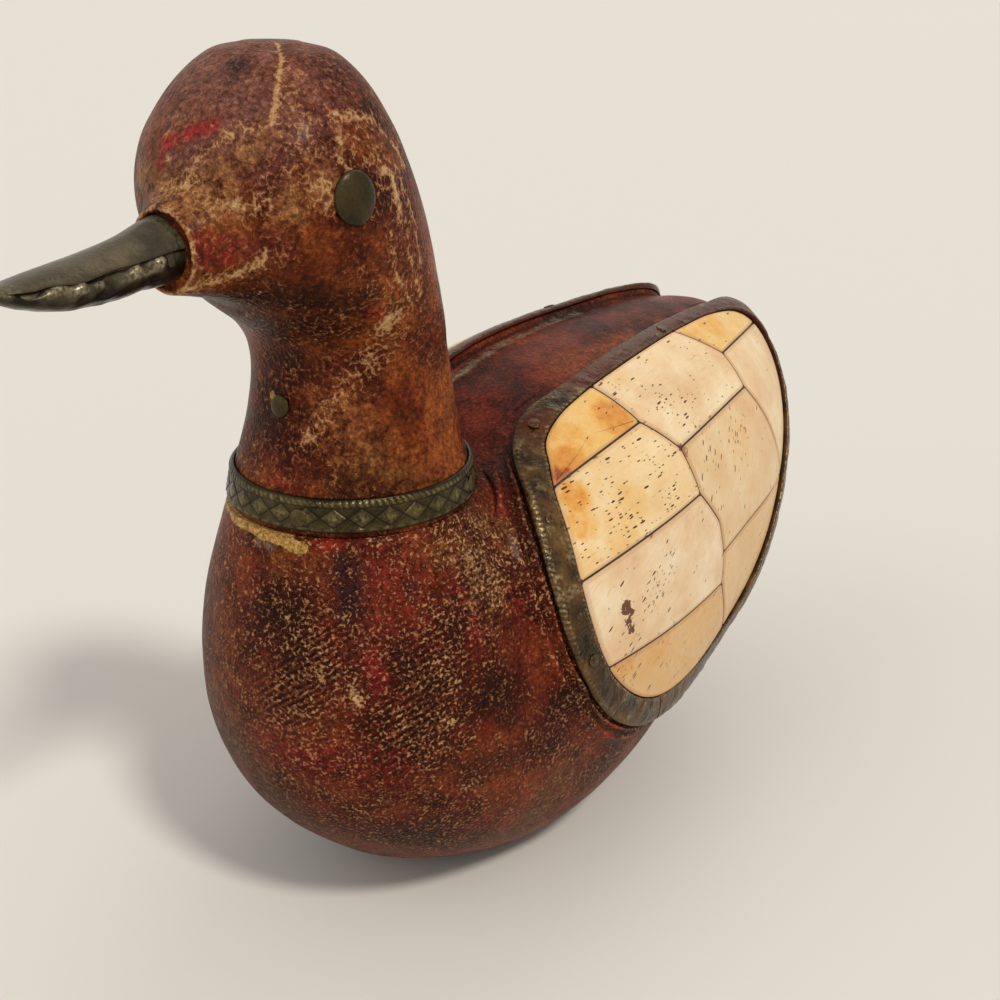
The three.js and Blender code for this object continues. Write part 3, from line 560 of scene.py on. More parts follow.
# Old oil paint over gesso on carved limewood. Brushed thin and rubbed back: red-brown with
# purple and crimson, gold where the top coat has worn off the wrinkles, waxed so that single
# wrinkles glint.
PAINT_TINTS = {
    "orange": "#7c3d17",
    "purple": "#5c2219",
    "mauve": "#6f463c",
    "olive": "#573511",
    "tan": "#8f6038",
    "crimson": "#8c1b1a",
    # Dark paint, also laid on as painted shade under the chin and in the grooves round the wings and the
    # bill's boss.
    "dark": "#1f0a06",
    "navy": "#16141b",
    # Grey paint, also laid on as a painted highlight along the inner ridge beside the wing strips.
    "grey": "#716a56",
}
TINT_COVER = 0.85
GOLD_WORN = "#955632"
GOLD_BRIGHT = "#dbb27b"
BARE_GESSO = [(0.3, "#7c5122"), (0.5, "#bd8c46"), (0.7, "#d8b878")]
COMBED_GROOVE = "#260d07"


def oil_paint(name, cell, netted, deep, middle_tone, light):
    """Cell is the width in mm of the wrinkles. Netted wrinkles are thin lines round the cells,
    others are grains. The three tones are the ground colour from its deepest to its lightest."""
    material, shader, add = new_finish(name, Specular_IOR_Level=0.05, Coat_Weight=0.04,
                                       Coat_Roughness=0.22)
    place = add("TexCoord", output="Object")
    broad, middle, fine, ragged = (
        add("TexNoise", {"Vector": place, "Scale": per_mm(size), "Detail": detail, "Roughness": rough})
        for size, detail, rough in ((22, 3, 0.5), (7, 4, 0.5), (0.9, 3, 0.6), (2.6, 6, 0.7)))
    combed, calm, worn_and_glints, gesso = (add("Attribute", output="Fac", attribute_name=mask)
                                 for mask in ("combed", "calm", "worn_and_glints", "gesso"))
    ground = add("ValToRGB", [broad], stops=[(0.38, deep), (0.5, middle_tone), (0.62, light)])
    deeper = add("MapRange", [middle, 0.42, 0.64, 0, 0.7])
    colour = add("MixRGB", [deeper, ground, deep])

    # Brushed marks, patchy because they were rubbed back with the rest. Some of them are painted shade
    # and painted highlights.
    patchy = add("MapRange", [ragged, 0.3, 0.7, 0.4, 1.6])
    for mask, tint in PAINT_TINTS.items():
        value = add("Attribute", output="Fac", attribute_name=mask)
        total = add("Math", [value, patchy], operation="MULTIPLY")
        factor = add("MapRange", [total, 0.15, 0.95, 0, TINT_COVER], interpolation_type="SMOOTHSTEP")
        colour = add("MixRGB", [factor, colour, tint])
    for spots, least, most in ((fine, 0.35, 1.75), (ragged, 0.65, 1.35)):
        mottled = add("MapRange", [spots, 0.3, 0.7, least, most])
        colour = add("MixRGB", [1.0, colour, mottled], blend_type="MULTIPLY")

    # Wrinkles and combed ridges, whose grooves are dark.
    wander = add("TexNoise", {"Vector": place, "Scale": per_mm(1.5), "Detail": 2}, output="Color")
    shift = add("VectorMath", [wander, (-0.5, -0.5, -0.5)], operation="ADD")
    bent = add("VectorMath", [shift, (1.5 * cell * MM,) * 3, place], operation="MULTIPLY_ADD")
    if netted:
        tall = add("Mapping", {"Vector": bent, "Scale": (1.0, 1.0, 0.65)})
        edge = add("TexVoronoi", {"Vector": tall, "Scale": per_mm(cell)}, feature="DISTANCE_TO_EDGE")
        lines = add("MapRange", [edge, 0, 0.3, 1, 0])
        broken = add("MapRange", [fine, 0.35, 0.6, 0.3, 1])
        relief = add("Math", [lines, broken], operation="MULTIPLY")
    else:
        wrinkle = add("TexNoise", {"Vector": bent, "Scale": per_mm(cell), "Detail": 3, "Roughness": 0.6})
        relief = add("MapRange", [wrinkle, 0.42, 0.62])
    turned = add("Mapping", {"Vector": bent, "Rotation": (0.0, math.radians(38), math.radians(36))})
    ridges = add("TexWave", {"Vector": turned, "Scale": per_mm(4.2), "Distortion": 2.5, "Detail": 2,
                             "Detail Scale": 1.0}, bands_direction="Z")
    combing = add("Math", [ridges, combed], operation="MULTIPLY", use_clamp=True)
    between = add("Math", [combed, combing], operation="SUBTRACT", use_clamp=True)
    colour = add("MixRGB", [between, colour, COMBED_GROOVE])

    # Gold on the wrinkles that stand out from where the paint is worn, and where glints are painted.
    rubbed_and_glinting = add("MapRange", [middle, 0.35, 0.65, -1.08, -0.92])
    score = add("Math", [worn_and_glints, rubbed_and_glinting], operation="ADD")
    grit = add("MapRange", [ragged, 0.35, 0.65, 0, 0.4])
    for part, share in ((relief, 0.75), (grit, 0.6), (combing, 0.18)):
        score = add("Math", [part, share, score], operation="MULTIPLY_ADD")
    flecked = add("MapRange", [score, 0, 0.46, 0, 0.85])
    strength = add("MapRange", [score, 0.15, 0.9])
    gold = add("MixRGB", [strength, GOLD_WORN, GOLD_BRIGHT])
    colour = add("MixRGB", [flecked, colour, gold])

    # Chips down to the gesso, with a crisp broken edge.
    frayed = add("MapRange", [ragged, 0.3, 0.7, -0.2, 0.2])
    chip = add("Math", [gesso, frayed], operation="ADD")
    chip = add("MapRange", [chip, 0.46, 0.54])
    bare = add("ValToRGB", [fine], stops=BARE_GESSO)
    colour = add("MixRGB", [chip, colour, bare])
    roughness = add("MapRange", [middle, 0.3, 0.7, 0.26, 0.4])
    roughness = add("Math", [flecked, 0.1, roughness], operation="MULTIPLY_ADD")

    # Wrinkles stand 0.3 mm proud, less where the coat is calm, combed ridges 0.45 mm, and a
    # chip lies 0.3 mm deep.
    depth = add("MapRange", [calm, 0, 1, 1, 0.15])
    height = add("Math", [fine, 0.9, relief], operation="MULTIPLY_ADD")
    first = add("Bump", {"Height": height, "Distance": 0.3 * MM, "Strength": depth})
    second = add("Bump", {"Height": combing, "Distance": 0.45 * MM, "Normal": first})
    third = add("Bump", {"Height": chip, "Distance": 0.3 * MM, "Normal": second}, invert=True)
    feed(shader, {"Base Color": colour, "Roughness": roughness, "Normal": third})
    return material


BRASS_WARM = "#47190b"
BRASS_GRIME_AND_SHADE = "#17120a"


def tarnished_brass(name, size, dented, tones, bright, metallic):
    """Old sheet brass: dark olive tarnish in clouds, dents of that size and depth in mm with brown in
    them, and small pale spots on the high places that are partly brass rubbed bright by handling and
    partly painted glints. Its dark mask is painted shade, mixed with grime in the collar's recesses."""
    material, shader, add = new_finish(name, Metallic=metallic, Specular_IOR_Level=0.25)
    place = add("TexCoord", output="Object")
    tone, dents, grit = (
        add("TexNoise", {"Vector": place, "Scale": per_mm(wide), "Detail": detail, "Roughness": rough})
        for wide, detail, rough in ((6, 4, 0.5), (size, 3, 0.6), (0.7, 3, 0.5)))
    warm, dark, rub_and_glint = (add("Attribute", output="Fac", attribute_name=mask)
                       for mask in ("warm", "dark", "rub_and_glint"))
    hollow = add("MapRange", [dents, 0.56, 0.7, 0, 0.7])
    rubbed_and_glinting = add("MapRange", [grit, 0.34, 0.7])
    rubbed_and_glinting = add("Math", [rubbed_and_glinting, rub_and_glint], operation="MULTIPLY", use_clamp=True)
    colour = add("ValToRGB", [tone], stops=list(zip((0.34, 0.5, 0.66), tones)))
    for factor, tint in ((warm, BRASS_WARM), (hollow, tones[0]), (dark, BRASS_GRIME_AND_SHADE), (rubbed_and_glinting, bright)):
        colour = add("MixRGB", [factor, colour, tint])
    roughness = add("MapRange", [tone, 0.3, 0.7, 0.22, 0.4])
    first = add("Bump", {"Height": dents, "Distance": dented * MM})
    second = add("Bump", {"Height": grit, "Distance": 0.08 * MM, "Normal": first})
    feed(shader, {"Base Color": colour, "Roughness": roughness, "Normal": second})
    return material


BONE_STAIN = [(0.15, "#eec97f"), (0.5, "#e6ab50"), (0.85, "#d07c2c"), (1.0, "#9a4a1a")]
BONE_AGED = "#bf8d60"
BONE_PORE = "#46290f"
BONE_SPECK = "#4e1005"
# Streak along the grain: mm across it, mm along it, where it starts and is full, strength, colour.
BONE_STREAKS = [(0.5, 9.0, 0.56, 0.75, 0.3, "#c79f62"), (1.1, 4.0, 0.6, 0.72, 0.3, "#b98b4e")]
# Pore: mm across the grain and along it of the cell it lies in, its share of that, how many.
BONE_PORES = [(0.75, 3.0, 0.26, 0.3), (0.45, 1.7, 0.25, 0.24)]


def sawn_bone(name, light, ground, warm):
    """Bone sawn into thin plates, scraped and polished: cream with open pores that the sawing cut
    across as short dark dashes along the grain, and tea-brown stains soaked in from the joints."""
    material, shader, add = new_finish(name, Subsurface_Weight=0.12, Subsurface_Scale=0.001,
                                       Specular_IOR_Level=0.3, Coat_Weight=0.1,
                                       Coat_Roughness=0.25)
    grain = add("Attribute", output="Vector", attribute_name="grain")
    stain, pores, spot, aged = (add("Attribute", output="Fac", attribute_name=mask)
                                for mask in ("stain", "pores", "spot", "aged"))
    cloud, flecks, ragged = (
        add("TexNoise", {"Vector": grain, "Scale": 1 / size, "Detail": detail, "Roughness": rough})
        for size, detail, rough in ((14, 5, 0.6), (2.2, 5, 0.65), (0.9, 4, 0.6)))
    colour = add("ValToRGB", [cloud], stops=[(0.33, light), (0.52, ground), (0.7, warm)])
    soak = add("MapRange", [flecks, 0.3, 0.7, 0.7, 1.15])
    stained = add("Math", [stain, soak], operation="MULTIPLY", use_clamp=True)
    soaked = add("ValToRGB", [stained], stops=BONE_STAIN)
    factor = add("MapRange", [stained, 0, 0.6])
    colour = add("MixRGB", [factor, colour, soaked])

    # Fine streaks and open pores, each stretched along the grain.
    for across, along, low, high, strength, tint in BONE_STREAKS:
        stretched = add("Mapping", {"Vector": grain, "Scale": (1 / along, 1 / across, 1.0)})
        streak = add("TexNoise", {"Vector": stretched, "Scale": 1.0, "Detail": 4})
        factor = add("MapRange", [streak, low, high, 0, strength])
        colour = add("MixRGB", [factor, colour, tint])
    shown = None
    for across, along, size, share in BONE_PORES:
        stretched = add("Mapping", {"Vector": grain, "Scale": (1 / along, 1 / across, 1.0)})
        frayed = add("MixRGB", [0.12, stretched, flecks], blend_type="ADD")
        cells, chance = (
            add("TexVoronoi", {"Vector": frayed, "Scale": 1.0}, output=shown_as, voronoi_dimensions="2D")
            for shown_as in ("Distance", "Color"))
        chosen, wide = (add("SeparateColor", [chance], output=part) for part in (0, 1))
        limit = add("Math", [pores, share], operation="MULTIPLY")
        chosen = add("Math", [chosen, limit], operation="LESS_THAN")
        wide = add("MapRange", [wide, 0, 1, 0.5 * size, 1.4 * size])
        inside = add("Math", [wide, cells], operation="SUBTRACT")
        dash = add("MapRange", [inside, 0, 0.06])
        dash = add("Math", [dash, chosen], operation="MULTIPLY")
        shown = dash if shown is None else add("Math", [dash, shown], operation="MAXIMUM")
    torn = add("MapRange", [ragged, 0.3, 0.7, -0.5, 0.5])
    spot = add("Math", [spot, torn], operation="ADD")
    spot = add("MapRange", [spot, 0.46, 0.56])
    for factor, tint in ((shown, BONE_PORE), (spot, BONE_SPECK), (aged, BONE_AGED)):
        colour = add("MixRGB", [factor, colour, tint])
    roughness = add("MapRange", [flecks, 0, 1, 0.34, 0.48])
    first = add("Bump", {"Height": shown, "Distance": 0.15 * MM}, invert=True)
    second = add("Bump", {"Height": flecks, "Distance": 0.04 * MM, "Normal": first})
    feed(shader, {"Base Color": colour, "Roughness": roughness, "Normal": second})
    return material


def dark_resin():
    """Pitch-brown resin that the plates are bedded in: it shows as the thin dark joints."""
    material, shader, add = new_finish("bedding_resin")
    place = add("TexCoord", output="Object")
    tone = add("TexNoise", {"Vector": place, "Scale": per_mm(3), "Detail": 4})
    colour = add("ValToRGB", [tone], stops=[(0.35, "#1e0d06"), (0.65, "#3c1e10")])
    roughness = add("MapRange", [tone, 0, 1, 0.4, 0.6])
    bump = add("Bump", {"Height": tone, "Distance": 0.1 * MM})
    feed(shader, {"Base Color": colour, "Roughness": roughness, "Normal": bump})
    return material


def turned_limewood():
    """Unpainted limewood of the hidden pieces: pale, with faint straight grain."""
    material, shader, add = new_finish("bare_limewood", Roughness=0.72)
    place = add("TexCoord", output="Object")
    stretched = add("Mapping", {"Vector": place, "Scale": (per_mm(1.5), per_mm(1.5), per_mm(20))})
    tone = add("TexNoise", {"Vector": stretched, "Scale": 1.0, "Detail": 4})
    colour = add("ValToRGB", [tone], stops=[(0.35, "#8f6d42"), (0.65, "#bf9a66")])
    bump = add("Bump", {"Height": tone, "Distance": 0.05 * MM})
    feed(shader, {"Base Color": colour, "Normal": bump})
    return material


BODY_PAINT = oil_paint("rubbed_oil_paint_on_body", 0.7, False, "#2b0b04", "#5b1a0a", "#783013")
HEAD_PAINT = oil_paint("rubbed_oil_paint_on_head", 1.35, True, "#370f06", "#662a10", "#8b461c")
STRIP_BRASS, COLLAR_BRASS, BILL_BRASS, EYE_BRASS = (tarnished_brass(*finish) for finish in (
    ("hammered_tarnished_brass", 1.8, 0.25, ("#1d1207", "#422911", "#60421d"), "#d8c08c", 0.5),
    ("pressed_tarnished_brass", 1.2, 0.12, ("#241d0e", "#3c3219", "#4c4126"), "#a5976a", 0.7),
    ("beaten_bill_brass", 3.5, 0.12, ("#3a3324", "#4b4230", "#5a503b"), "#a99d7e", 0.5),
    ("dulled_eye_tack", 3.0, 0.2, ("#221a08", "#33290f", "#423718"), "#5c5034", 0.35)))
BONE = sawn_bone("sawn_polished_bone", "#f4e2bf", "#e9cba0", "#dcb48a")
STAINED_BONE = sawn_bone("tea_stained_bone", "#f2d59a", "#eac480", "#e0b16a")
RESIN = dark_resin()
LIMEWOOD = turned_limewood()


# Where the paint is worn, marked and chipped, and where shade and glints are painted on it

# Marks of each kind: strength, half width in mm, and the places that a mark runs through. On the
# head a place is the height above the seat and the degrees from the front to the left.
HEAD_MARKS = {
    "mauve": [
        (1.0, 13, (86, 0), (84, 30)), (0.9, 7, (76, 0), (78, 30)),
    ],
    "purple": [
        (1.0, 2.6, (65.7, 16.8)), (1.0, 3, (60, 25), (60.2, 42.8)), (0.9, 3, (80, 60), (83, 75)),
    ],
    "navy": [
        (0.95, 2.6, (88.3, 10.8)), (0.8, 1.6, (86.5, 14)),
    ],
    "crimson": [
        (0.9, 1.7, (76.2, -9), (79.5, 13)), (0.8, 1.2, (73.5, -9), (72.4, -8)),
        (0.5, 2.6, (62, 20), (58, 26)), (0.8, 1.4, (45.2, 64), (44.2, 70)),
        (0.45, 2.2, (10, 0), (8, 14)), (0.5, 3, (66, 120), (48, 128)),
    ],
    "orange": [
        (0.9, 3.5, (77, 82), (73, 104)), (0.8, 3, (64, 45), (60, 60)),
        (0.7, 8, (22, 34), (16, 60), (12, 84)),
    ],
    "tan": [
        (0.9, 3.2, (69.6, -27.8), (68.6, 10.3), (67.4, 25.3)), (0.75, 3, (72, 20), (77, 36)),
        (0.6, 4, (66, 48), (70, 62)), (0.45, 7, (24, 34), (16, 52)),
    ],
    "olive": [
        (0.9, 2, (48, -16), (50.5, -8)), (0.9, 1.6, (54.5, 12), (57, 31)),
        (0.6, 5, (8, 30), (14, 50), (9, 70)),
    ],
    # Dark under the chin and down the front of the neck is dark paint together with painted shade under
    # the head.
    "dark": [
        (1.15, 4.2, (49, 2), (49.5, 22), (48.5, 44), (47, 60)),
        (1.1, 5.5, (43, -12), (41, 12), (42, 36)), (0.8, 4, (33, -6), (35, 14)),
    ],
    "gold": [
        (0.95, 0.65, (91.4, 50), (89.6, 44.8), (84.8, 42.3), (80.0, 41.8)),
        (0.68, 1.5, (80.0, 41.8), (79.2, 27.8), (76.6, 16.8), (73.0, 9.8), (70, 7)),
        (0.8, 1.1, (81.2, 70.3), (80.5, 86), (79, 101.4)),
        (0.85, 0.7, (79, 101.4), (74.5, 110), (70.4, 115.4), (70.9, 93.4)),
        (0.8, 1.0, (80.5, 74), (74, 72), (72, 76)),
        (0.85, 1.1, (52.7, 6.8), (54.4, 20.3), (57.0, 32.3), (59, 36)), (0.9, 0.7, (73.9, -4.3)),
        (0.85, 0.6, (70, 100), (63, 99)), (0.8, 0.6, (70, 106), (60, 108), (52, 104)),
        (0.75, 0.6, (60, 90), (52, 86), (46, 88)), (0.75, 0.6, (56, 98), (46, 97)),
        (0.85, 1.8, (43.1, 72.4), (41.5, 69)), (0.7, 1.0, (67.5, 28), (66.5, 36)),
        (0.7, 2.2, (66.5, 66), (70.5, 64)),
    ],
    "worn_and_glints": [
        (0.68, 8, (88, 48), (82, 54), (76, 60)), (0.8, 5, (68.6, -4), (67.4, 25), (68.5, 42)),
        (0.78, 6, (72, 50), (68, 64)), (0.78, 6, (77, 84), (70, 100), (60, 98)),
        (0.68, 9, (54, 84), (44, 80), (36, 66)), (0.82, 4.5, (41, 66), (33, 50), (26, 32), (18, 18)),
        (0.6, 9, (26, 30), (14, 20)), (0.6, 7, (58, 44), (56, 70)), (0.62, 14, (70, -40), (60, -80)),
        (0.5, 16, (40, 170), (66, 170)), (0.55, 9, (16, -120), (20, -60)),
    ],
    "gesso": [
        (1.0, 0.9, (25.6, -7.5), (24.4, -4.5)),
    ],
    "calm": [
        (0.85, 7, (20, 74), (14, 92)), (0.6, 5, (58, 62), (54, 50)),
    ],
}

# On the body a place is the station of its rings and the degrees from the back line to the left.
BODY_MARKS = {
    "purple": [
        (0.9, 12, (0.5, 136), (1.2, 140)), (0.6, 14, (3.2, 20), (3.2, -20)), (0.5, 20, (6, 0), (10, 0)),
        (0.5, 8, (2.4, 66), (3.0, 90)),
    ],
    "olive": [
        (0.8, 6, (2.44, -168), (3.4, 176)), (0.8, 7, (5.2, 116), (5.3, 134)),
        (0.7, 6, (4.2, 154), (4.4, 170)), (0.8, 4, (2.0, 118), (2.4, 128)),
    ],
    "orange": [
        (0.7, 9, (1.2, -158), (2.2, -160)), (0.8, 5, (0.2, 170), (0.3, 150)),
        (0.6, 5, (0.3, 108), (0.6, 100)), (0.9, 3.5, (7.6, 12.3), (6.0, 9.5)),
    ],
    "tan": [
        (0.5, 8, (0.8, 90), (1.8, 86)), (0.45, 6, (0.5, 74), (1.3, 66)),
    ],
    "crimson": [
        (0.85, 3, (1.5, 133.4), (1.75, 131)), (0.6, 2.4, (1.0, 148.5), (1.3, 147.5)),
        (0.7, 1.8, (0.04, 146), (0.06, 152)), (0.55, 6, (2.2, 172), (2.5, 148), (2.7, 136)),
        (0.6, 3, (2.2, 98), (1.8, 96)), (0.6, 2.2, (2.6, 82), (2.2, 80)),
        (0.6, 3, (1.4, 96), (1.0, 98)), (0.45, 9, (0.6, 120), (1.6, 118), (2.4, 132)),
    ],
    "navy": [
        (1.0, 3.0, (0.3, 141.5), (0.8, 140.9)), (0.8, 2.0, (0.8, 116.4)),
        (0.8, 2.5, (1.5, 124), (1.7, 122)),
    ],
    "dark": [
        (0.8, 3.4, (0.6, 160), (1.3, 163)), (0.8, 5, (3.6, 119), (4.7, 106)),
        (0.85, 4, (3.0, 99), (3.6, 104)), (0.8, 7, (5.6, 160), (5.4, 176)),
        (0.55, 12, (2.9, -175), (3.6, 160), (4, 140)),
    ],
    "grey": [
        (0.9, 1.3, (0.1, -178), (0.12, 176)), (0.85, 1.6, (4.6, -14.5), (6.2, -13.5), (8, -13.5)),
    ],
    "gold": [
        (0.85, 1.5, (1.7, 142.4), (1.85, 141)), (0.7, 1.0, (2.5, 118), (2.8, 115.5)),
        (0.6, 1.2, (3.63, 109.4)), (0.5, 0.9, (1.0, 151.4), (1.5, 152.5)),
        (0.6, 0.8, (0.03, 130), (0.03, 112), (0.05, 84)), (0.55, 0.7, (3.75, 126), (3.85, 121)),
    ],
    # The worn marks on the right of the chest, round 70 to 100 degrees up to station 2.2, are painted
    # glints of the varnish.
    "worn_and_glints": [
        (0.55, 15, (0.9, 158), (2.2, 158)), (0.62, 7, (1.7, 148), (1.9, 138)),
        (0.74, 9, (0.6, 90), (1.8, 84)), (0.7, 7, (1.2, 70), (2.2, 84)),
        (0.56, 15, (1.2, 112), (2.8, 112)), (0.5, 14, (2.0, -150), (1.2, -130)),
        (0.5, 20, (3, -110), (4, -140)), (0.55, 12, (3.8, 140), (5.4, 128)),
        (0.62, 9, (0.4, 100), (0.4, 78)), (0.5, 24, (10.5, 120), (10.5, -120)),
        (0.6, 5, (6.6, 10), (7.4, 9)),
    ],
    "combed": [
        (1.3, 7, (1.2, 155), (1.7, 166)), (1.2, 8, (1.9, 114), (2.5, 128)),
        (0.8, 7, (1.0, 84), (1.8, 92)),
    ],
    "gesso": [
        (1.1, 1.15, (0.02, -134), (0.02, -160), (0.03, -180)),
        (1.1, 1.3, (0.03, 180), (0.04, 170), (0.1, 160.5)),
    ],
    "calm": [
        (0.8, 22, (3.6, 0), (8, 0), (11, 0)), (0.35, 7, (3.2, 90), (3.6, 99)),
        (0.5, 8, (2.8, 48), (2.4, 30)),
    ],
}
MASK_NAMES = (*PAINT_TINTS, "gold", "worn_and_glints", "gesso", "combed", "calm")
WORN_ALL_OVER = 0.49


def brushed(points, mark, place):
    """Mask of one mark: its strength on its path, half of that at its half width, 0 at twice it."""
    strength, half_width, *path = mark
    line = np.array([place(*spot) for spot in path])
    far = np.linalg.norm(points - line[0], axis=-1)
    for start, end in zip(line[:-1], line[1:]):
        along = end - start
        share = np.clip((points - start) @ along / (along @ along), 0, 1)
        far = np.minimum(far, np.linalg.norm(points - start - share[:, None] * along, axis=-1))
    return strength * np.clip(1 - far / (2 * half_width), 0, 1)


def paint_masks(points, marks, place):
    """Masks of the paint: the strongest mark of each kind at each point. Gold adds to the wear,
    and calm paint is less worn."""
    masks = {name: np.zeros(len(points)) for name in MASK_NAMES}
    masks["worn_and_glints"] += WORN_ALL_OVER
    for kind, rows in marks.items():
        for mark in rows:
            masks[kind] = np.maximum(masks[kind], brushed(points, mark, place))
    masks["worn_and_glints"] = masks["worn_and_glints"] * (1 - masks["calm"]) + masks.pop("gold") ** 2
    return masks


def strengthen(masks, added):
    """Raises masks to the values that are added, where these are higher."""
    for name, values in added.items():
        masks[name] = np.maximum(masks[name], values.ravel())


# Body

# Distance inside the wing edge, negative outside it, at which the body starts to sink under the
# rim, and how deep it sinks.
BODY_SINKS_FROM = -4.6
BODY_SUNK = 1.6
# Points on a line that is measured, and points that are set against the wing edge at one time.
DENSE = 1200
BATCH = 4000


def ring_grid(point, rows, line, rings, around):
    """Station and angle of each point of rings that lie evenly apart along the line at one angle."""
    dense = np.linspace(0, len(rows) - 1, DENSE)
    lengths = run_lengths(point(dense, np.full(DENSE, float(line))))
    stations = np.interp(np.linspace(0, lengths[-1], rings), lengths, dense)
    return np.meshgrid(stations, np.linspace(0, 360, around, endpoint=False), indexing="ij")


def carved(points):
    """Depth of the knife's unevenness at bare surface points, never above the surface."""
    depth = 0.34 * lumps(points, 26, 1) + 0.13 * lumps(points, 9, 2) + 0.05 * lumps(points, 3.5, 3)
    return depth - 0.55


def wing_distance(points):
    """Distance in mm from the nearer wing edge, for points on the body."""
    half = np.abs(points) * np.where([True, False, False], 1, np.sign(points))
    near = np.zeros(len(half))
    edge = on_body(edge_pair(np.linspace(0, EDGE_COUNT, 600, endpoint=False))[0])
    for start in range(0, len(half), BATCH):
        part = half[start:start + BATCH, None, :] - edge[None, :, :]
        near[start:start + BATCH] = np.sqrt((part ** 2).sum(-1).min(-1))
    return near


def inside_wing(y, degrees):
    """True where a place lies within the wing's outline, which a line from it towards the tail
    then crosses an odd number of times."""
    corners = edge_pair(np.linspace(0, EDGE_COUNT, 160, endpoint=False))[0]
    inside = np.zeros(np.shape(y), bool)
    for (y0, q0), (y1, q1) in zip(corners, np.roll(corners, -1, axis=0)):
        crosses = (q0 > degrees) != (q1 > degrees)
        cut = y0 + (degrees - q0) * (y1 - y0) / (q1 - q0 + 1e-12)
        inside ^= crosses & (y < cut)
    return inside


def make_body():
    """Body rings pressed in by the carving, sunk under the wings' rims and flat on the table."""
    station, degrees = ring_grid(body_point, BODY_ROWS, line=150, rings=250, around=340)
    points = body_point(station, degrees)
    flat = points.reshape(-1, 3)
    distance = wing_distance(flat).reshape(station.shape)
    inside = inside_wing(points[..., 1], np.minimum(degrees, 360 - degrees))
    distance = np.where(inside, distance, -distance)
    sunk = BODY_SUNK * smooth((distance - BODY_SINKS_FROM) / 1.5)
    depth = carved(flat).reshape(station.shape) * smooth(station / 0.6)
    rings = points + body_out(station, degrees) * (depth - sunk)[..., None]
    rings[..., 2] = np.maximum(rings[..., 2], 0)
    poles = np.array([[0, 0, SEAT_HEIGHT], STERN])
    masks = paint_masks(np.vstack([flat, poles]), BODY_MARKS, body_point)
    poles[1, 1] += carved(poles)[1]
    make_piece("painted_body", rings, "poles", BODY_PAINT, ["body_block"],
               poles=poles, masks=masks)


# Neck and head

def make_head():
    """Neck and head rings pressed in by the carving, but hardly under the collar."""
    station, degrees = ring_grid(head_point, HEAD_ROWS, line=30, rings=230, around=320)
    points = head_point(station, degrees)
    upward = head_point(station + 0.02, degrees) - head_point(station - 0.02, degrees)
    around = head_point(station, degrees + 1) - head_point(station, degrees - 1)
    out = unit(np.cross(around, upward) + 1e-9)
    depth = carved(points.reshape(-1, 3)).reshape(station.shape)
    collar_middle = SEAT_HEIGHT + COLLAR_RISE + COLLAR_HEIGHT / 2
    under_collar = np.exp(-((points[..., 2] - collar_middle) / 6) ** 4)
    rings = points + out * (depth * (1 - 0.9 * under_collar))[..., None]
    poles = np.array([[0, 0, rings[0, :, 2].mean()], CROWN])
    masks = paint_masks(np.vstack([points.reshape(-1, 3), poles]), HEAD_MARKS, on_head)
    poles[1, 2] = rings[-1, :, 2].mean() + 0.3
    make_piece("painted_neck_and_head", rings, "poles", HEAD_PAINT,
               ["neck_and_head_block"], poles=poles, masks=masks)


# Front face of the boss: mm inward from its outer ring, and mm forward of it. A rounded ridge
# of paint stands along its edge, and a groove lies between that and the brass.
BOSS_FACE = np.array([
    [0.15, 0.22], [0.4, 0.42], [0.75, 0.48], [1.05, 0.3], [1.25, 0.05], [1.5, -0.15], [1.9, -0.2],
    [2.6, -0.15], [4.0, -0.1],
])
BOSS_AROUND = 220
BOSS_RINGS = 34


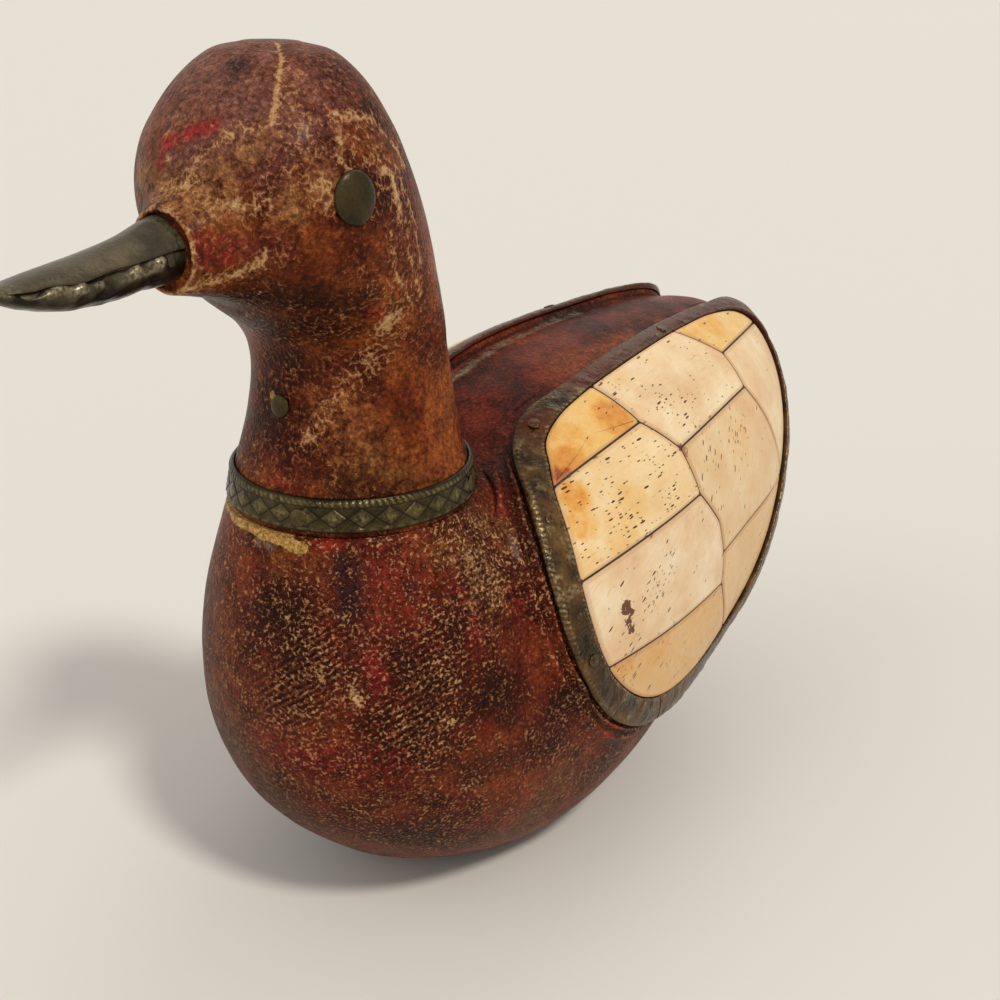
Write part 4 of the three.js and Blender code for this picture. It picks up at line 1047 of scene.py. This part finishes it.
def make_boss():
    """Wood round the bill root. Its side starts level with the bill at the front ring and leans
    out until it meets the head, by a power curve of how far it still stands proud of the head."""
    angle = np.linspace(0, 2 * math.pi, BOSS_AROUND, endpoint=False)[None, :]
    share = np.linspace(1, 0, BOSS_RINGS)[:, None]
    upward = smooth(0.5 + 0.5 * np.cos(angle))
    flare = BOSS_FLARE_BELOW + (BOSS_FLARE_ABOVE - BOSS_FLARE_BELOW) * upward
    x = BOSS_ASIDE + (BOSS_HALF_WIDTH + BOSS_FLARE_ASIDE * share) * np.sin(angle)
    rise = BOSS_RISE + (BOSS_HALF_HEIGHT + flare * share) * np.cos(angle)
    bare = head_front(x, rise)
    surface = bare[..., 1] - carved(bare.reshape(-1, 3)).reshape(x.shape)
    proud = surface[-1] - BOSS_FRONT_Y
    y = surface - proud * (1 - share) ** 2.5 + 0.35 * share
    side = np.stack([x, y, bare[..., 2]], axis=-1)
    inward, forward = BOSS_FACE[:, 0:1], BOSS_FACE[:, 1:2]
    face_x = BOSS_ASIDE + (BOSS_HALF_WIDTH - inward) * np.sin(angle)
    face_rise = BOSS_RISE + (BOSS_HALF_HEIGHT - inward) * np.cos(angle)
    face_y = BOSS_FRONT_Y - forward + 0 * angle
    face = np.stack([face_x, face_y, SEAT_HEIGHT + face_rise], axis=-1)
    rings = np.concatenate([side, face])
    uneven = 0.22 * lumps(rings.reshape(-1, 3), 3.0, 21).reshape(rings.shape[:2])
    rings[BOSS_RINGS - 3:-3, :, 1] += uneven[BOSS_RINGS - 3:-3]
    poles = np.array([[0, -30, SEAT_HEIGHT + BOSS_RISE], [0, BOSS_FRONT_Y + 1, SEAT_HEIGHT + BOSS_RISE]])
    seen = np.vstack([bare.reshape(-1, 3), face.reshape(-1, 3), poles])
    masks = paint_masks(seen, HEAD_MARKS, on_head)
    inset = np.concatenate([np.full(BOSS_RINGS, -1.0), BOSS_FACE[:, 0]])
    inset[BOSS_RINGS - 1] = 0
    inset = np.append(np.repeat(inset, BOSS_AROUND), [-1, -1])
    ridge = hump(inset, 0.4, 0.4)
    groove = hump(inset, 1.5, 0.4)
    masks["worn_and_glints"] = masks["worn_and_glints"] * (1 - groove) + 0.6 * ridge
    masks["dark"] *= 1 - ridge
    # The dark in the groove between the ridge and the brass is painted shade.
    strengthen(masks, {"tan": 0.9 * ridge + 0.3 * groove, "dark": 0.25 * groove})
    make_piece("painted_bill_boss", rings, "poles", HEAD_PAINT,
               ["neck_and_head_block"], poles=poles, masks=masks)


# Wing rims: the raised wood that the strips are nailed over

# Corner of the rim's section: mm inward from the wing edge, share of the strip's width, and the
# lift over the carved body, first for most of the edge and then for its front, where two ridges
# of thick paint run beside the strip.
RIM_SECTION = np.array([
    (-9.4, 0, -0.35, -0.35), (-8.4, 0, -0.12, -0.1), (-7.4, 0, 0.0, 0.12), (-6.5, 0, 0.05, 0.45),
    (-5.8, 0, 0.05, 0.85), (-5.2, 0, 0.05, 1.3), (-4.8, 0, 0.05, 1.55), (-4.5, 0, 0.05, 1.65),
    (-4.2, 0, 0.05, 1.55), (-3.9, 0, 0.05, 1.3), (-3.5, 0, 0.05, 1.1), (-3.1, 0, 0.05, 1.05),
    (-2.7, 0, 0.05, 1.25), (-2.4, 0, 0.05, 1.7), (-2.1, 0, 0.05, 2.1), (-1.8, 0, 0.05, 2.35),
    (-1.5, 0, 0.05, 2.3), (-1.25, 0, 0.05, 1.9), (-1.0, 0, 0.1, 1.35), (-0.8, 0, 0.25, 1.15),
    (-0.55, 0, 0.7, 1.2), (-0.35, 0, 1.3, 1.4), (-0.15, 0, 1.8, 1.8), (0.1, 0, 2.1, 2.1),
    (0.4, 0, 2.2, 2.2), (0, 0.5, 2.2, 2.2), (-0.2, 1, 2.2, 2.2), (0, 1, 1.6, 1.6),
    (0, 1, 0.6, 0.6), (1.2, 1, 0.3, 0.3), (1.2, 1, -3.0, -3.0), (0, 0.5, -3.0, -3.0),
    (-1, 0, -3.0, -3.0), (-5, 0, -3.0, -3.0), (-9.4, 0, -2.4, -2.4),
])


def front_edge(station):
    """1 along the front edge of the wing, where the paint has piled up, and 0 elsewhere."""
    along = np.mod(station, EDGE_COUNT)
    return smooth((along - 1.6) / 2.0) * (1 - smooth((along - 10.0) / 1.6))


def make_rim(hand, side):
    """Section of the rim carried round the wing edge, uneven where the paint ridges wander."""
    stations, _ = even_edge_stations(0, EDGE_COUNT, RIM_STEP)
    stations = stations[:-1]
    front = front_edge(stations)
    flip = np.array([side, 1, 1])
    edge = on_body(edge_pair(stations)[0])
    uneven = 1 + 0.28 * lumps(edge, 6, 5) + 0.14 * lumps(edge, 2.5, 6)
    drift = 0.35 * lumps(edge, 9, 7) + 0.15 * lumps(edge, 3, 17)
    rings = []
    bare = []
    for inset, share, lift, front_lift in RIM_SECTION:
        ridged = front_lift - lift
        moved = inset + drift * front * (ridged > 0.3)
        places = edge_place(stations, moved, share)
        base = on_body(places) * flip
        out = on_body(places, 1.0) * flip - base
        height = lift + ridged * front * uneven
        height = height + carved(base) * smooth((-inset - 0.3) / 2.5) * (inset < 0)
        rings.append(base + out * height[:, None])
        bare.append(base)
    rings = np.stack(rings, axis=1)
    bare = np.stack(bare, axis=1).reshape(-1, 3)
    masks = paint_masks(bare, BODY_MARKS, body_point)
    inset, share = RIM_SECTION[:, 0], RIM_SECTION[:, 1]
    across = np.broadcast_to(inset + 10 * (share > 0), rings.shape[:2])
    patches = 0.5 + 0.5 * lumps(bare, 7, 18).reshape(across.shape)
    outer_ridge = hump(across, -4.5, 0.55) * front[:, None]
    inner_ridge = hump(across, -1.7, 0.4) * front[:, None]
    valley = hump(across, -3.2, 0.6) * front[:, None]
    # The inner ridge's grey and a little of its gold are a painted highlight on the glossy paint; the
    # dark in the valley between the ridges and in the groove beside the strip is painted shade.
    masks["worn_and_glints"] += (0.3 * outer_ridge * patches + 0.12 * inner_ridge).ravel()
    strengthen(masks, {
        "crimson": 0.8 * outer_ridge * (1 - patches),
        "grey": 0.45 * inner_ridge * patches,
        "calm": 0.8 * inner_ridge + 0.5 * valley,
        "dark": 0.75 * valley + 1.1 * hump(across, -0.8, 0.35),
    })
    make_piece(f"{hand}_wing_rim", rings, "loop", BODY_PAINT, ["body_block"],
               masks=masks)


# Bone plates and their bed

def plate_outline(corners):
    """Outline of a plate as places about one step apart. A side between two numbers follows the
    wing edge, and any other side is a straight cut, pressed on to the body."""
    sides = []
    for corner, after in zip(corners, corners[1:] + corners[:1]):
        if np.isscalar(corner) and np.isscalar(after):
            span = (after - corner) % EDGE_COUNT
            stations, _ = even_edge_stations(corner, corner + span, PLATE_STEP)
            sides.append(edge_place(stations[:-1], 0.0, 1.0))
            continue
        ends = [edge_place(np.array([c]), 0.0, 1.0)[0] if np.isscalar(c) else np.array(c)
                for c in (corner, after)]
        start, end = on_body(ends[0], TILE_TOP), on_body(ends[1], TILE_TOP)
        count = max(2, int(np.linalg.norm(end - start) / PLATE_STEP))
        t = np.linspace(0, 1, count, endpoint=False)[:, None]
        sides.append(pressed(start + (end - start) * t, TILE_TOP, ends[0] + (ends[1] - ends[0]) * t))
    outline = np.vstack(sides)
    return (np.roll(outline, 1, axis=0) + 4 * outline + np.roll(outline, -1, axis=0)) / 6


def drawn_in(outline, amount):
    """Outline moved inward over the body by some mm, square to itself. Places that would cross at
    a corner are spread between the ones beside them."""
    points = on_body(outline, TILE_TOP)
    along = np.roll(points, -1, axis=0) - np.roll(points, 1, axis=0)
    inward = unit(np.cross(on_body(outline, TILE_TOP + 1) - points, along))
    middle = points.mean(axis=0)
    inward = inward * np.sign(((middle - points) * inward).sum())
    places = pressed(points + inward * amount, TILE_TOP, outline)
    moved = on_body(places, TILE_TOP)[:, None]
    run = np.roll(points, -1, axis=0) - points
    share = ((moved - points) * run).sum(axis=-1) / (run ** 2).sum(axis=-1)
    near = points + np.clip(share, 0, 1)[..., None] * run
    clear = np.linalg.norm(moved - near, axis=-1).min(axis=1) > 0.9 * amount
    order = np.arange(len(places))
    return np.stack([np.interp(order, order[clear], places[clear, k], period=len(order))
                     for k in range(2)], axis=-1)


def shrunk(centre, outline, shares, lift):
    """Copies of an outline at a lift over the body, each drawn towards the centre to its share."""
    return [on_body(centre + (outline - centre) * share, lift) for share in shares]


# Edge of a plate: mm in from its outline, and lift under its face.
PLATE_EDGE = [(0.55, 0.0), (0.3, 0.03), (0.12, 0.1), (0.03, 0.2), (0.0, 0.4)]
PLATE_RINGS = 24


def plate_spots(points, spots, soft):
    """Strongest of some round marks, given as [y, degrees, radius, strength], at each point."""
    value = np.zeros(len(points))
    for y, degrees, radius, strength in spots:
        far = np.linalg.norm(points - on_body(np.array([y, degrees], float), TILE_TOP), axis=-1)
        value = np.maximum(value, strength * smooth(1 + soft - far / radius))
    return value


def make_plate(hand, side, name):
    """Plate face as shrinking copies of its outline, with a rounded edge, straight sides and a flat
    back. Its grain lies in the plane that touches the middle of its face. The edge looks older."""
    plate = PLAIN_PLATE | WING_PLATES[name]
    outline = plate_outline(plate["corners"])
    centre = outline.mean(axis=0)
    face_edge = drawn_in(outline, TILE_JOINT + PLATE_EDGE[0][0])
    shares = np.linspace(1 / PLATE_RINGS, 1, PLATE_RINGS, endpoint=False)
    rings = shrunk(centre, face_edge, shares, TILE_TOP)
    for inset, under in PLATE_EDGE:
        rings.append(on_body(drawn_in(outline, TILE_JOINT + inset), TILE_TOP - under))
    rings.append(on_body(drawn_in(outline, TILE_JOINT), TILE_BOTTOM))
    rings = np.stack(rings)
    poles = np.array([on_body(centre, TILE_TOP), on_body(centre, TILE_BOTTOM)])
    points = np.vstack([rings.reshape(-1, 3), poles])
    out = unit(on_body(centre, 1.0) - on_body(centre))
    back = unit(np.array([0, 1, 0]) - out * out[1])
    upward = np.cross(back, out)
    upward = upward * np.sign(upward[2])
    turn = math.radians(plate["grain"])
    along = back * math.cos(turn) + upward * math.sin(turn)
    across = upward * math.cos(turn) - back * math.sin(turn)
    # Every plate reads its own part of the bone's pattern.
    shift = 31.0 * (sorted(WING_PLATES).index(name) + 1) + (7.0 if side < 0 else 0.0)
    offset = points - poles[0]
    grain = np.stack([offset @ along + shift, offset @ across + shift, 0 * offset[:, 0]], axis=-1)
    stain = np.maximum(plate["stained"], plate_spots(points, plate["stains"], 0.4))
    pores = (0.5 + 0.6 * lumps(points, 9, 8)) * plate["pores"]
    pores = np.maximum(pores, plate_spots(points, plate["clusters"], 0.2))
    spot = np.zeros(len(points))
    if side > 0:
        spot = plate_spots(points, [(*speck, 0.95) for speck in plate["specks"]], 0.5)
    aged = np.full(len(points), plate["aged"])
    aged[PLATE_RINGS * len(outline):-2] += 0.4
    masks = {"grain": grain, "stain": stain, "aged": aged, "pores": np.clip(pores, 0, 1.4),
             "spot": spot}
    stained = name in STAINED_PLATES
    flip = np.array([side, 1, 1])
    make_piece(f"{hand}_plate_{name}", rings * flip, "poles", STAINED_BONE if stained else BONE,
               [f"{hand}_wing_plate_{name}"],
               poles=poles * flip, masks=masks)


def make_bed(hand, side):
    """Resin slab inside the strips: shrinking copies of its outline above and below."""
    stations, _ = even_edge_stations(0, EDGE_COUNT, BED_STEP)
    outline = edge_place(stations[:-1], 0.2, 1.0)
    centre = outline.mean(axis=0)
    shares = np.linspace(0.04, 1, 50)
    over = shrunk(centre, outline, shares, BED_TOP)
    under = shrunk(centre, outline, shares[::-5], BED_BOTTOM)
    rings = np.stack(over + under) * [side, 1, 1]
    poles = np.array([on_body(centre, BED_TOP), on_body(centre, BED_BOTTOM)]) * [side, 1, 1]
    make_piece(f"{hand}_resin_bed", rings, "poles", RESIN, [f"{hand}_wing_resin_bed"],
               poles=poles)


# Brass strips over the wing rims

STRIP_TOP_POINTS = 17
BEAD_PITCH = 1.25
BEADED_FROM, BEADED_TO = 3.4, 6.6


def strip_section():
    """Corners of the bent strip's section, as mm inward, share of the width, lift, and whether
    they lie on the hammered face. The first half is the outside, the second the inside."""
    shares = np.linspace(0.98, 0.07, STRIP_TOP_POINTS)
    section = [(0.0, 1, STRIP_TOP - 0.5, 0), (-0.03, 1, STRIP_TOP - 0.2, 1)]
    section += [(0.0, share, STRIP_TOP + STRIP_CROWN * math.sin(math.pi * share), 1) for share in shares]
    section += [(-0.1, 0, STRIP_TOP - 0.04, 1), (-0.35, 0, STRIP_TOP - 0.22, 1),
                (-0.5, 0, STRIP_TOP - 0.5, 1), (-0.56, 0, 2.4, 0), (-0.56, 0, 2.05, 0)]
    section += [(-0.2, 0, 2.05, 0), (-0.2, 0, 2.25, 0), (-0.12, 0, 2.4, 0), (0.05, 0, 2.48, 0),
                (0.25, 0, 2.5, 0)]
    section += [(0.0, share, 2.5, 0) for share in shares[::-1]]
    section += [(-0.03, 1, 2.5, 0), (0.0, 1, 2.5, 0)]
    return section


def make_strip(hand, side, place, start, end):
    """Bent section carried along the wing edge, with hammer marks, and knurled along its edges.
    The top end of the front strip is rounded and laps over the rear strip."""
    stations, lengths = even_edge_stations(start, end, STRIP_STEP)
    outer, inner, width = edge_pair(stations)
    along = np.mod(stations, EDGE_COUNT)
    from_top = lengths - lengths[0]
    lap = np.zeros(len(lengths))
    narrow = np.zeros(len(lengths))
    warm = 0.8 * smooth((along - 17) / 3)
    raised = 1.3 * smooth((along - 11.5) / 3) * (1 - smooth((along - 20) / 2.5))
    if place == "front":
        lap = 0.7 * (1 - smooth((from_top - 4) / 6))
        inward = np.clip(1 - from_top / (width[0] / 2), 0, 1)
        narrow = (1 - np.sqrt(1 - inward ** 2)) / 2
        warm = 0.8 * (1 - smooth((from_top - 3) / 14))
    beaded = smooth((along - BEADED_FROM) / 0.6) * (1 - smooth((along - BEADED_TO) / 0.6))
    wave = 0.5 + 0.5 * np.cos(2 * math.pi * lengths / BEAD_PITCH)
    columns = []
    rubs_and_glints = []
    for inset, share, lift, face in strip_section():
        squeezed = 0.5 + (share - 0.5) * (1 - 2 * narrow)
        places = edge_place(stations, inset * (1 - narrow)) + (inner - outer) * squeezed[:, None]
        base = on_body(places)
        out = on_body(places, 1.0) - base
        marks = 0.14 * lumps(base, 2.6, 9) + 0.09 * lumps(base, 1.3, 10) - 0.12
        beads = hump(share, 0.07, 0.07) * (0.3 + 0.7 * beaded) + 0.6 * hump(share, 0.95, 0.06)
        height = lift + lap * (lift > 2.3) + raised * (lift > 2.6) + face * (marks + 0.2 * wave * beads)
        columns.append(base + out * height[:, None])
        # The pale rub on the tops of the hammer marks and on the knurled beads is partly rubbed brass
        # and partly painted glints.
        bright = 0.05 + 0.7 * np.clip(marks * 6 + 0.3, 0, 1) + 0.75 * wave * beads
        rubs_and_glints.append(face * bright * (1 - 0.6 * warm))
    rings = np.stack(columns, axis=1) * [side, 1, 1]
    rub_and_glint = np.stack(rubs_and_glints, axis=1).ravel()
    masks = {"rub_and_glint": rub_and_glint, "warm": np.repeat(warm, rings.shape[1]), "dark": 0 * rub_and_glint}
    make_piece(f"{hand}_{place}_strip", rings, "paired", STRIP_BRASS,
               [f"{hand}_wing_{place}_strip"], masks=masks)


# Collar

COLLAR_BEADS = 120
COLLAR_LOZENGES = 29
COLLAR_SCALLOPS = 58
COLLAR_STEPS = 1160
COLLAR_LEVELS = 40
# Where the upper rib starts, and where the lower rib ends, as shares of the band's height.
COLLAR_UPPER_RIB = 0.74
COLLAR_LOWER_RIB = 0.15


def collar_relief(degrees, level):
    """Pattern from 0 to 1: a roped rib above, a scalloped rib below, and between them a row of
    lozenges with triangles in the gaps. Level runs from 0 to 1 up the band."""
    turn = degrees / 360
    above = (level - COLLAR_UPPER_RIB) / (1 - COLLAR_UPPER_RIB)
    bead = 0.5 + 0.5 * np.abs(np.cos(math.pi * (COLLAR_BEADS * turn + 0.6 * above)))
    upper = bead * np.sqrt(np.clip(1 - (2 * above - 1) ** 2, 0, 1))
    scallop = np.abs(np.cos(math.pi * COLLAR_SCALLOPS * turn))
    below = level / COLLAR_LOWER_RIB
    lower = (0.3 + 0.6 * scallop) * np.sqrt(np.clip(1 - (2 * below - 1) ** 2, 0, 1))
    across = (level - COLLAR_LOWER_RIB) / (COLLAR_UPPER_RIB - COLLAR_LOWER_RIB)
    across = np.abs(2 * across - 1)
    phase = COLLAR_LOZENGES * turn - 0.625
    along = 2 * np.abs(phase - np.floor(phase + 0.5))
    inside = 1.0 - across - along
    lozenge = 0.55 + 0.5 * np.clip(inside, 0, 1)
    triangle = 0.35 + 0.3 * np.clip(-inside, 0, 1)
    line = np.clip(np.abs(inside) / 0.14, 0, 1)
    field = np.where(across < 1, line * np.where(inside > 0, lozenge, triangle), 0)
    return np.clip(upper + lower + field, 0, 1)


def make_collar():
    """Band round the root of the neck, fitted by hand: the pressed face outside, a plain face inside."""
    degrees = np.linspace(0, 360, COLLAR_STEPS, endpoint=False)[:, None]
    level = np.linspace(0.0, 1.0, COLLAR_LEVELS)[None, :]
    relief = collar_relief(degrees, level) * np.clip(12 * level * (1 - level), 0, 1)
    rise = COLLAR_RISE + COLLAR_HEIGHT * level
    outer = on_head(rise + 0 * degrees, degrees + 0 * rise, COLLAR_FACE + COLLAR_RELIEF * relief)
    back_rise = COLLAR_RISE + COLLAR_HEIGHT * np.linspace(1, 0, 8)[None, :]
    inner = on_head(back_rise + 0 * degrees, degrees + 0 * back_rise, COLLAR_INSIDE)
    rings = np.concatenate([outer, inner], axis=1)
    # Pale on the raised pattern is painted highlight with some rubbed brass, and dark in its recesses is
    # painted shade with some grime.
    rub_and_glint = np.concatenate([0.55 * relief ** 3, 0 * inner[..., 0]], axis=1).ravel()
    dark = np.concatenate([0.85 * (1 - relief) ** 2, 0 * inner[..., 0]], axis=1).ravel()
    make_piece("pressed_collar", rings, "loop", COLLAR_BRASS, ["collar_band"],
               masks={"rub_and_glint": rub_and_glint, "dark": dark, "warm": 0 * rub_and_glint})


# Bill

BILL_STATIONS = np.linspace(0, len(BILL_ROWS) - 1, 400)
BILL_CURVES = np.vstack([rows_at(BILL_ROWS, BILL_STATIONS), [BILL_TIP_Y, BILL_TIP_RISE, 0.9, 2.0]])


def bill_size(y):
    """Rise of the middle of the bill, half its height and half its width."""
    rise, high, wide = (np.interp(-y, -BILL_CURVES[:, 0], BILL_CURVES[:, k]) for k in (1, 2, 3))
    closing = np.sqrt(np.clip(1 - ((BILL_TIP_Y + 2.2 - y) / 2.2).clip(0, 1) ** 2, 0, 1))
    return rise, high * closing, wide * closing


def bill_section(y, angle, grow):
    """Oval cross-section, roofed a little above. The angle is measured from the top."""
    rise, high, wide = bill_size(y)
    root = smooth((y + 72) / 26)
    power = 1 + 0.22 * root * np.clip(np.cos(angle), 0, 1)
    x = (wide + grow) * signed_power(np.sin(angle), power)
    z = SEAT_HEIGHT + rise + (high + grow) * signed_power(np.cos(angle), power)
    return np.stack(np.broadcast_arrays(x, y, z), axis=-1)


def make_bill(name, node, top):
    """Half of the bill's sheet from the crease over the top or under the bottom, 0.9 mm thick. The
    lower one lies a little deeper, its upper edge wanders, and it is dented along that edge."""
    y = np.linspace(BILL_ROOT_Y, BILL_TIP_Y, 170)[:, None]
    middle, high, _ = bill_size(y)
    crease = np.interp(-y, -BILL_CREASE[:, 0], BILL_CREASE[:, 1])
    line = np.concatenate([0 * y, y, 0 * y], axis=1)
    crease = crease + 0.2 * lumps(line, 5, 11)[:, None] + 0.14 * lumps(line, 1.8, 12)[:, None]
    gap = 0.0 if top else -0.25 * np.clip(lumps(line, 3.5, 22)[:, None], 0, 1)
    reach = np.arccos(np.clip((crease + gap - middle) / np.maximum(high, 0.2), -0.85, 0.85))
    share = np.linspace(-1, 1, 70)[None, :]
    angle = reach * share if top else math.pi + (math.pi - reach) * share
    whole = smooth((y - BILL_TIP_Y) / 6)
    flat = bill_section(y, angle, 0.0).reshape(-1, 3)
    edge = hump(np.abs(share), 1, 0.05)
    if top:
        dent = 0.12 * lumps(flat, 8, 13).reshape(angle.shape) - 0.12 - 0.12 * edge
        # Dark along the crease is painted shade under the lapping edge.
        dark = 0.45 * edge
        bright = 0.4 * smooth((y + 49) / 3) + 0.04 + 0.3 * smooth((-76 - y) / 2)
    else:
        crumpled = hump(np.abs(share), 1, 0.3)
        folds = 0.75 * lumps(flat, 4.0, 14) + 0.5 * lumps(flat, 1.8, 15)
        folds = folds.reshape(angle.shape)
        dent = folds * (0.25 + crumpled) - 0.55 - 0.2 * edge
        # The lower sheet is darker away from its crumpled edge and in the hollows of its folds as
        # painted shade, and the fold tops get painted highlights.
        dark = 0.6 - 0.4 * crumpled + np.clip(-folds * 1.6, 0, 0.6) + 0.5 * edge
        bright = np.clip(folds * 3 - 0.3, 0, 1) * crumpled
    outer = bill_section(y, angle, dent * whole)
    inner = bill_section(y, angle, -np.minimum(BILL_SHEET, 0.6 * high))[:, ::-1]
    rings = np.concatenate([outer, inner], axis=1)
    masks = {}
    for mask, shown in (("dark", np.clip(dark, 0, 0.9)), ("rub_and_glint", bright), ("warm", 0.0)):
        masks[mask] = np.concatenate([shown + 0 * angle, 0 * angle], axis=1).ravel()
    make_piece(name, rings, "paired", BILL_BRASS, [node], masks=masks)


# Nails and eyes

def make_tack(name, node, base, out, material, radius, edge, dome, shank, squash=1.0, warm=0.0):
    """Domed head on a shank, given as its radius and length, turned about the outward direction.
    The dome is a quarter of an ellipse, and squash narrows the head across its level direction."""
    level = unit(np.cross([0, 0, 1], out))
    upward = np.cross(out, level)
    arc = np.radians(np.linspace(4, 90, 12))
    profile = [(radius * math.sin(a), edge + dome * math.cos(a)) for a in arc]
    profile += [(radius, edge * 0.4), (radius * 0.92, 0.0), (shank[0], 0.0), (shank[0], -shank[1])]
    around = np.radians(np.linspace(0, 360, 32, endpoint=False))[None, :]
    profile = np.array(profile)
    r, lift = profile[:, 0:1], profile[:, 1:2]
    u = r * np.cos(around) * squash
    v = r * np.sin(around)
    rings = base + u[..., None] * level + v[..., None] * upward + (lift + 0 * v)[..., None] * out
    poles = np.array([base + out * (edge + dome), base - out * shank[1]])
    rub_and_glint = np.full(rings.shape[0] * rings.shape[1] + 2, 0.12)
    make_piece(name, rings, "poles", material, [node], poles=poles,
               masks={"rub_and_glint": rub_and_glint, "warm": warm + 0 * rub_and_glint, "dark": 0 * rub_and_glint})


def make_nails():
    """Nails of the strips, the collar and the neck, and the two eye tacks."""
    for hand, side in (("left", 1), ("right", -1)):
        flip = np.array([side, 1, 1])
        for k, station in enumerate(STRIP_NAIL_STATIONS):
            place = edge_place(np.array([station]), 0.0, 0.5)[0]
            proud = STRIP_TOP + STRIP_CROWN + (0.9 if k == 0 else 0.0)
            base = on_body(place, proud - 0.12) * flip
            out = (on_body(place, 1.0) - on_body(place)) * flip
            make_tack(f"{hand}_strip_nail_{k + 1}", f"{hand}_wing_strip_nail_{k + 1}", base, out,
                      STRIP_BRASS, radius=TACK_RADIUS, edge=0.1, dome=0.25, shank=(0.6, 6),
                      warm=0.8 if k in (0, 5) else 0.2)
        out = head_out(EYE_RISE, side * EYE_DEGREES)
        base = on_head(EYE_RISE, side * EYE_DEGREES) - out * 0.8
        make_tack(f"{hand}_eye", f"{hand}_eye_tack", base, out, EYE_BRASS, radius=EYE_RADIUS,
                  edge=0.55, dome=1.3, shank=(1.0, 8), squash=0.87)
    for k, degrees in enumerate(COLLAR_NAIL_ANGLES):
        rise = COLLAR_RISE + 0.4 * COLLAR_HEIGHT
        base = on_head(rise, degrees, COLLAR_FACE + 0.2)
        make_tack(f"collar_nail_head_{k + 1}", f"collar_nail_{k + 1}", base, head_out(rise, degrees),
                  COLLAR_BRASS, radius=1.25 * TACK_RADIUS, edge=0.15, dome=0.4, shank=(0.6, 6))
    out = head_out(NECK_NAIL_RISE, 0)
    make_tack("neck_nail_head", "neck_nail", on_head(NECK_NAIL_RISE, 0) - out * 0.55, out, EYE_BRASS,
              radius=2.2, edge=0.2, dome=0.7, shank=(0.9, 9))


# Assembly

make_body()
make_head()
make_boss()
for hand, side in (("left", 1), ("right", -1)):
    make_rim(hand, side)
    make_bed(hand, side)
    for plate in WING_PLATES:
        make_plate(hand, side, plate)
    make_strip(hand, side, "front", FRONT_STRIP_TOP, FRONT_STRIP_BOTTOM - 0.02)
    make_strip(hand, side, "rear", FRONT_STRIP_BOTTOM + 0.02, FRONT_STRIP_TOP + 0.35 + EDGE_COUNT)
make_collar()
make_bill("bill_upper", "bill_upper_sheet", True)
make_bill("bill_lower", "bill_lower_sheet", False)
make_nails()

for node in ("neck_dowel", "bill_wood_core"):
    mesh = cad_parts[node].data
    mesh.materials.clear()
    mesh.materials.append(LIMEWOOD)


# Floor, light and camera

STUDIO_COLOUR = "#e2ddd4"


def make_floor():
    """Pale matt sheet, wide enough to run out of the picture."""
    half = 3.0
    mesh = bpy.data.meshes.new("studio_floor")
    mesh.from_pydata([(-half, -half, 0), (half, -half, 0), (half, half, 0), (-half, half, 0)], [],
                     [(0, 1, 2, 3)])
    mesh.materials.append(new_finish("matt_paper", Base_Color=STUDIO_COLOUR, Roughness=0.9)[0])
    floor = bpy.data.objects.new("studio_floor", mesh)
    bpy.context.scene.collection.objects.link(floor)


def make_lamp(name, place, strength, spread, colour):
    """Far soft lamp in the direction of a place, as wide as its spread in degrees seems from the
    duck."""
    data = bpy.data.lights.new(name, "SUN")
    data.angle = math.radians(spread)
    data.energy = strength
    data.color = linear(colour)[:3]
    lamp = bpy.data.objects.new(name, data)
    lamp.rotation_euler = Vector(place).to_track_quat("Z", "Y").to_euler()
    bpy.context.scene.collection.objects.link(lamp)


def make_world():
    """Even pale light from all round. The eye and mirrors see the background instead."""
    world = bpy.data.worlds.new("studio")
    bpy.context.scene.world = world
    world.use_nodes = True
    world.node_tree.nodes.clear()
    add = partial(add_node, world.node_tree)
    seen = add("LightPath", output="Is Camera Ray")
    for ray in ("Is Glossy Ray", "Is Transmission Ray"):
        seen = add("Math", [seen, add("LightPath", output=ray)], operation="ADD", use_clamp=True)
    lit = add("Background", {"Color": "#ffffff", "Strength": 0.5})
    shown = add("Background", {"Color": STUDIO_COLOUR, "Strength": 1.0})
    mixed = add("MixShader", [seen, lit, shown])
    feed(world.node_tree.nodes.new("ShaderNodeOutputWorld"), {"Surface": mixed})


CAMERA_PLACE = (193.6, -214.5, 215.6)
CAMERA_TURN = 36
CAMERA_PITCH = 23
CAMERA_LENS = 54


def make_camera():
    """Camera to the duck's left front, a little above it."""
    data = bpy.data.cameras.new("camera")
    data.lens = CAMERA_LENS
    data.sensor_width = 36
    data.clip_start = 0.01
    camera = bpy.data.objects.new("camera", data)
    camera.location = np.array(CAMERA_PLACE) * MM + NECK_AXIS
    camera.rotation_euler = (math.radians(90 - CAMERA_PITCH), 0, math.radians(CAMERA_TURN))
    bpy.context.scene.collection.objects.link(camera)
    bpy.context.scene.camera = camera


make_floor()
make_world()
make_lamp("key", (0.75, -0.25, 1.0), 1.6, 9, "#fffcf6")
make_lamp("fill", (-0.5, -0.9, 0.7), 0.35, 50, "#ffffff")
make_lamp("back", (-0.2, 0.9, 0.9), 0.3, 30, "#fff8ee")
make_camera()
bpy.context.scene.view_settings.view_transform = "Standard"
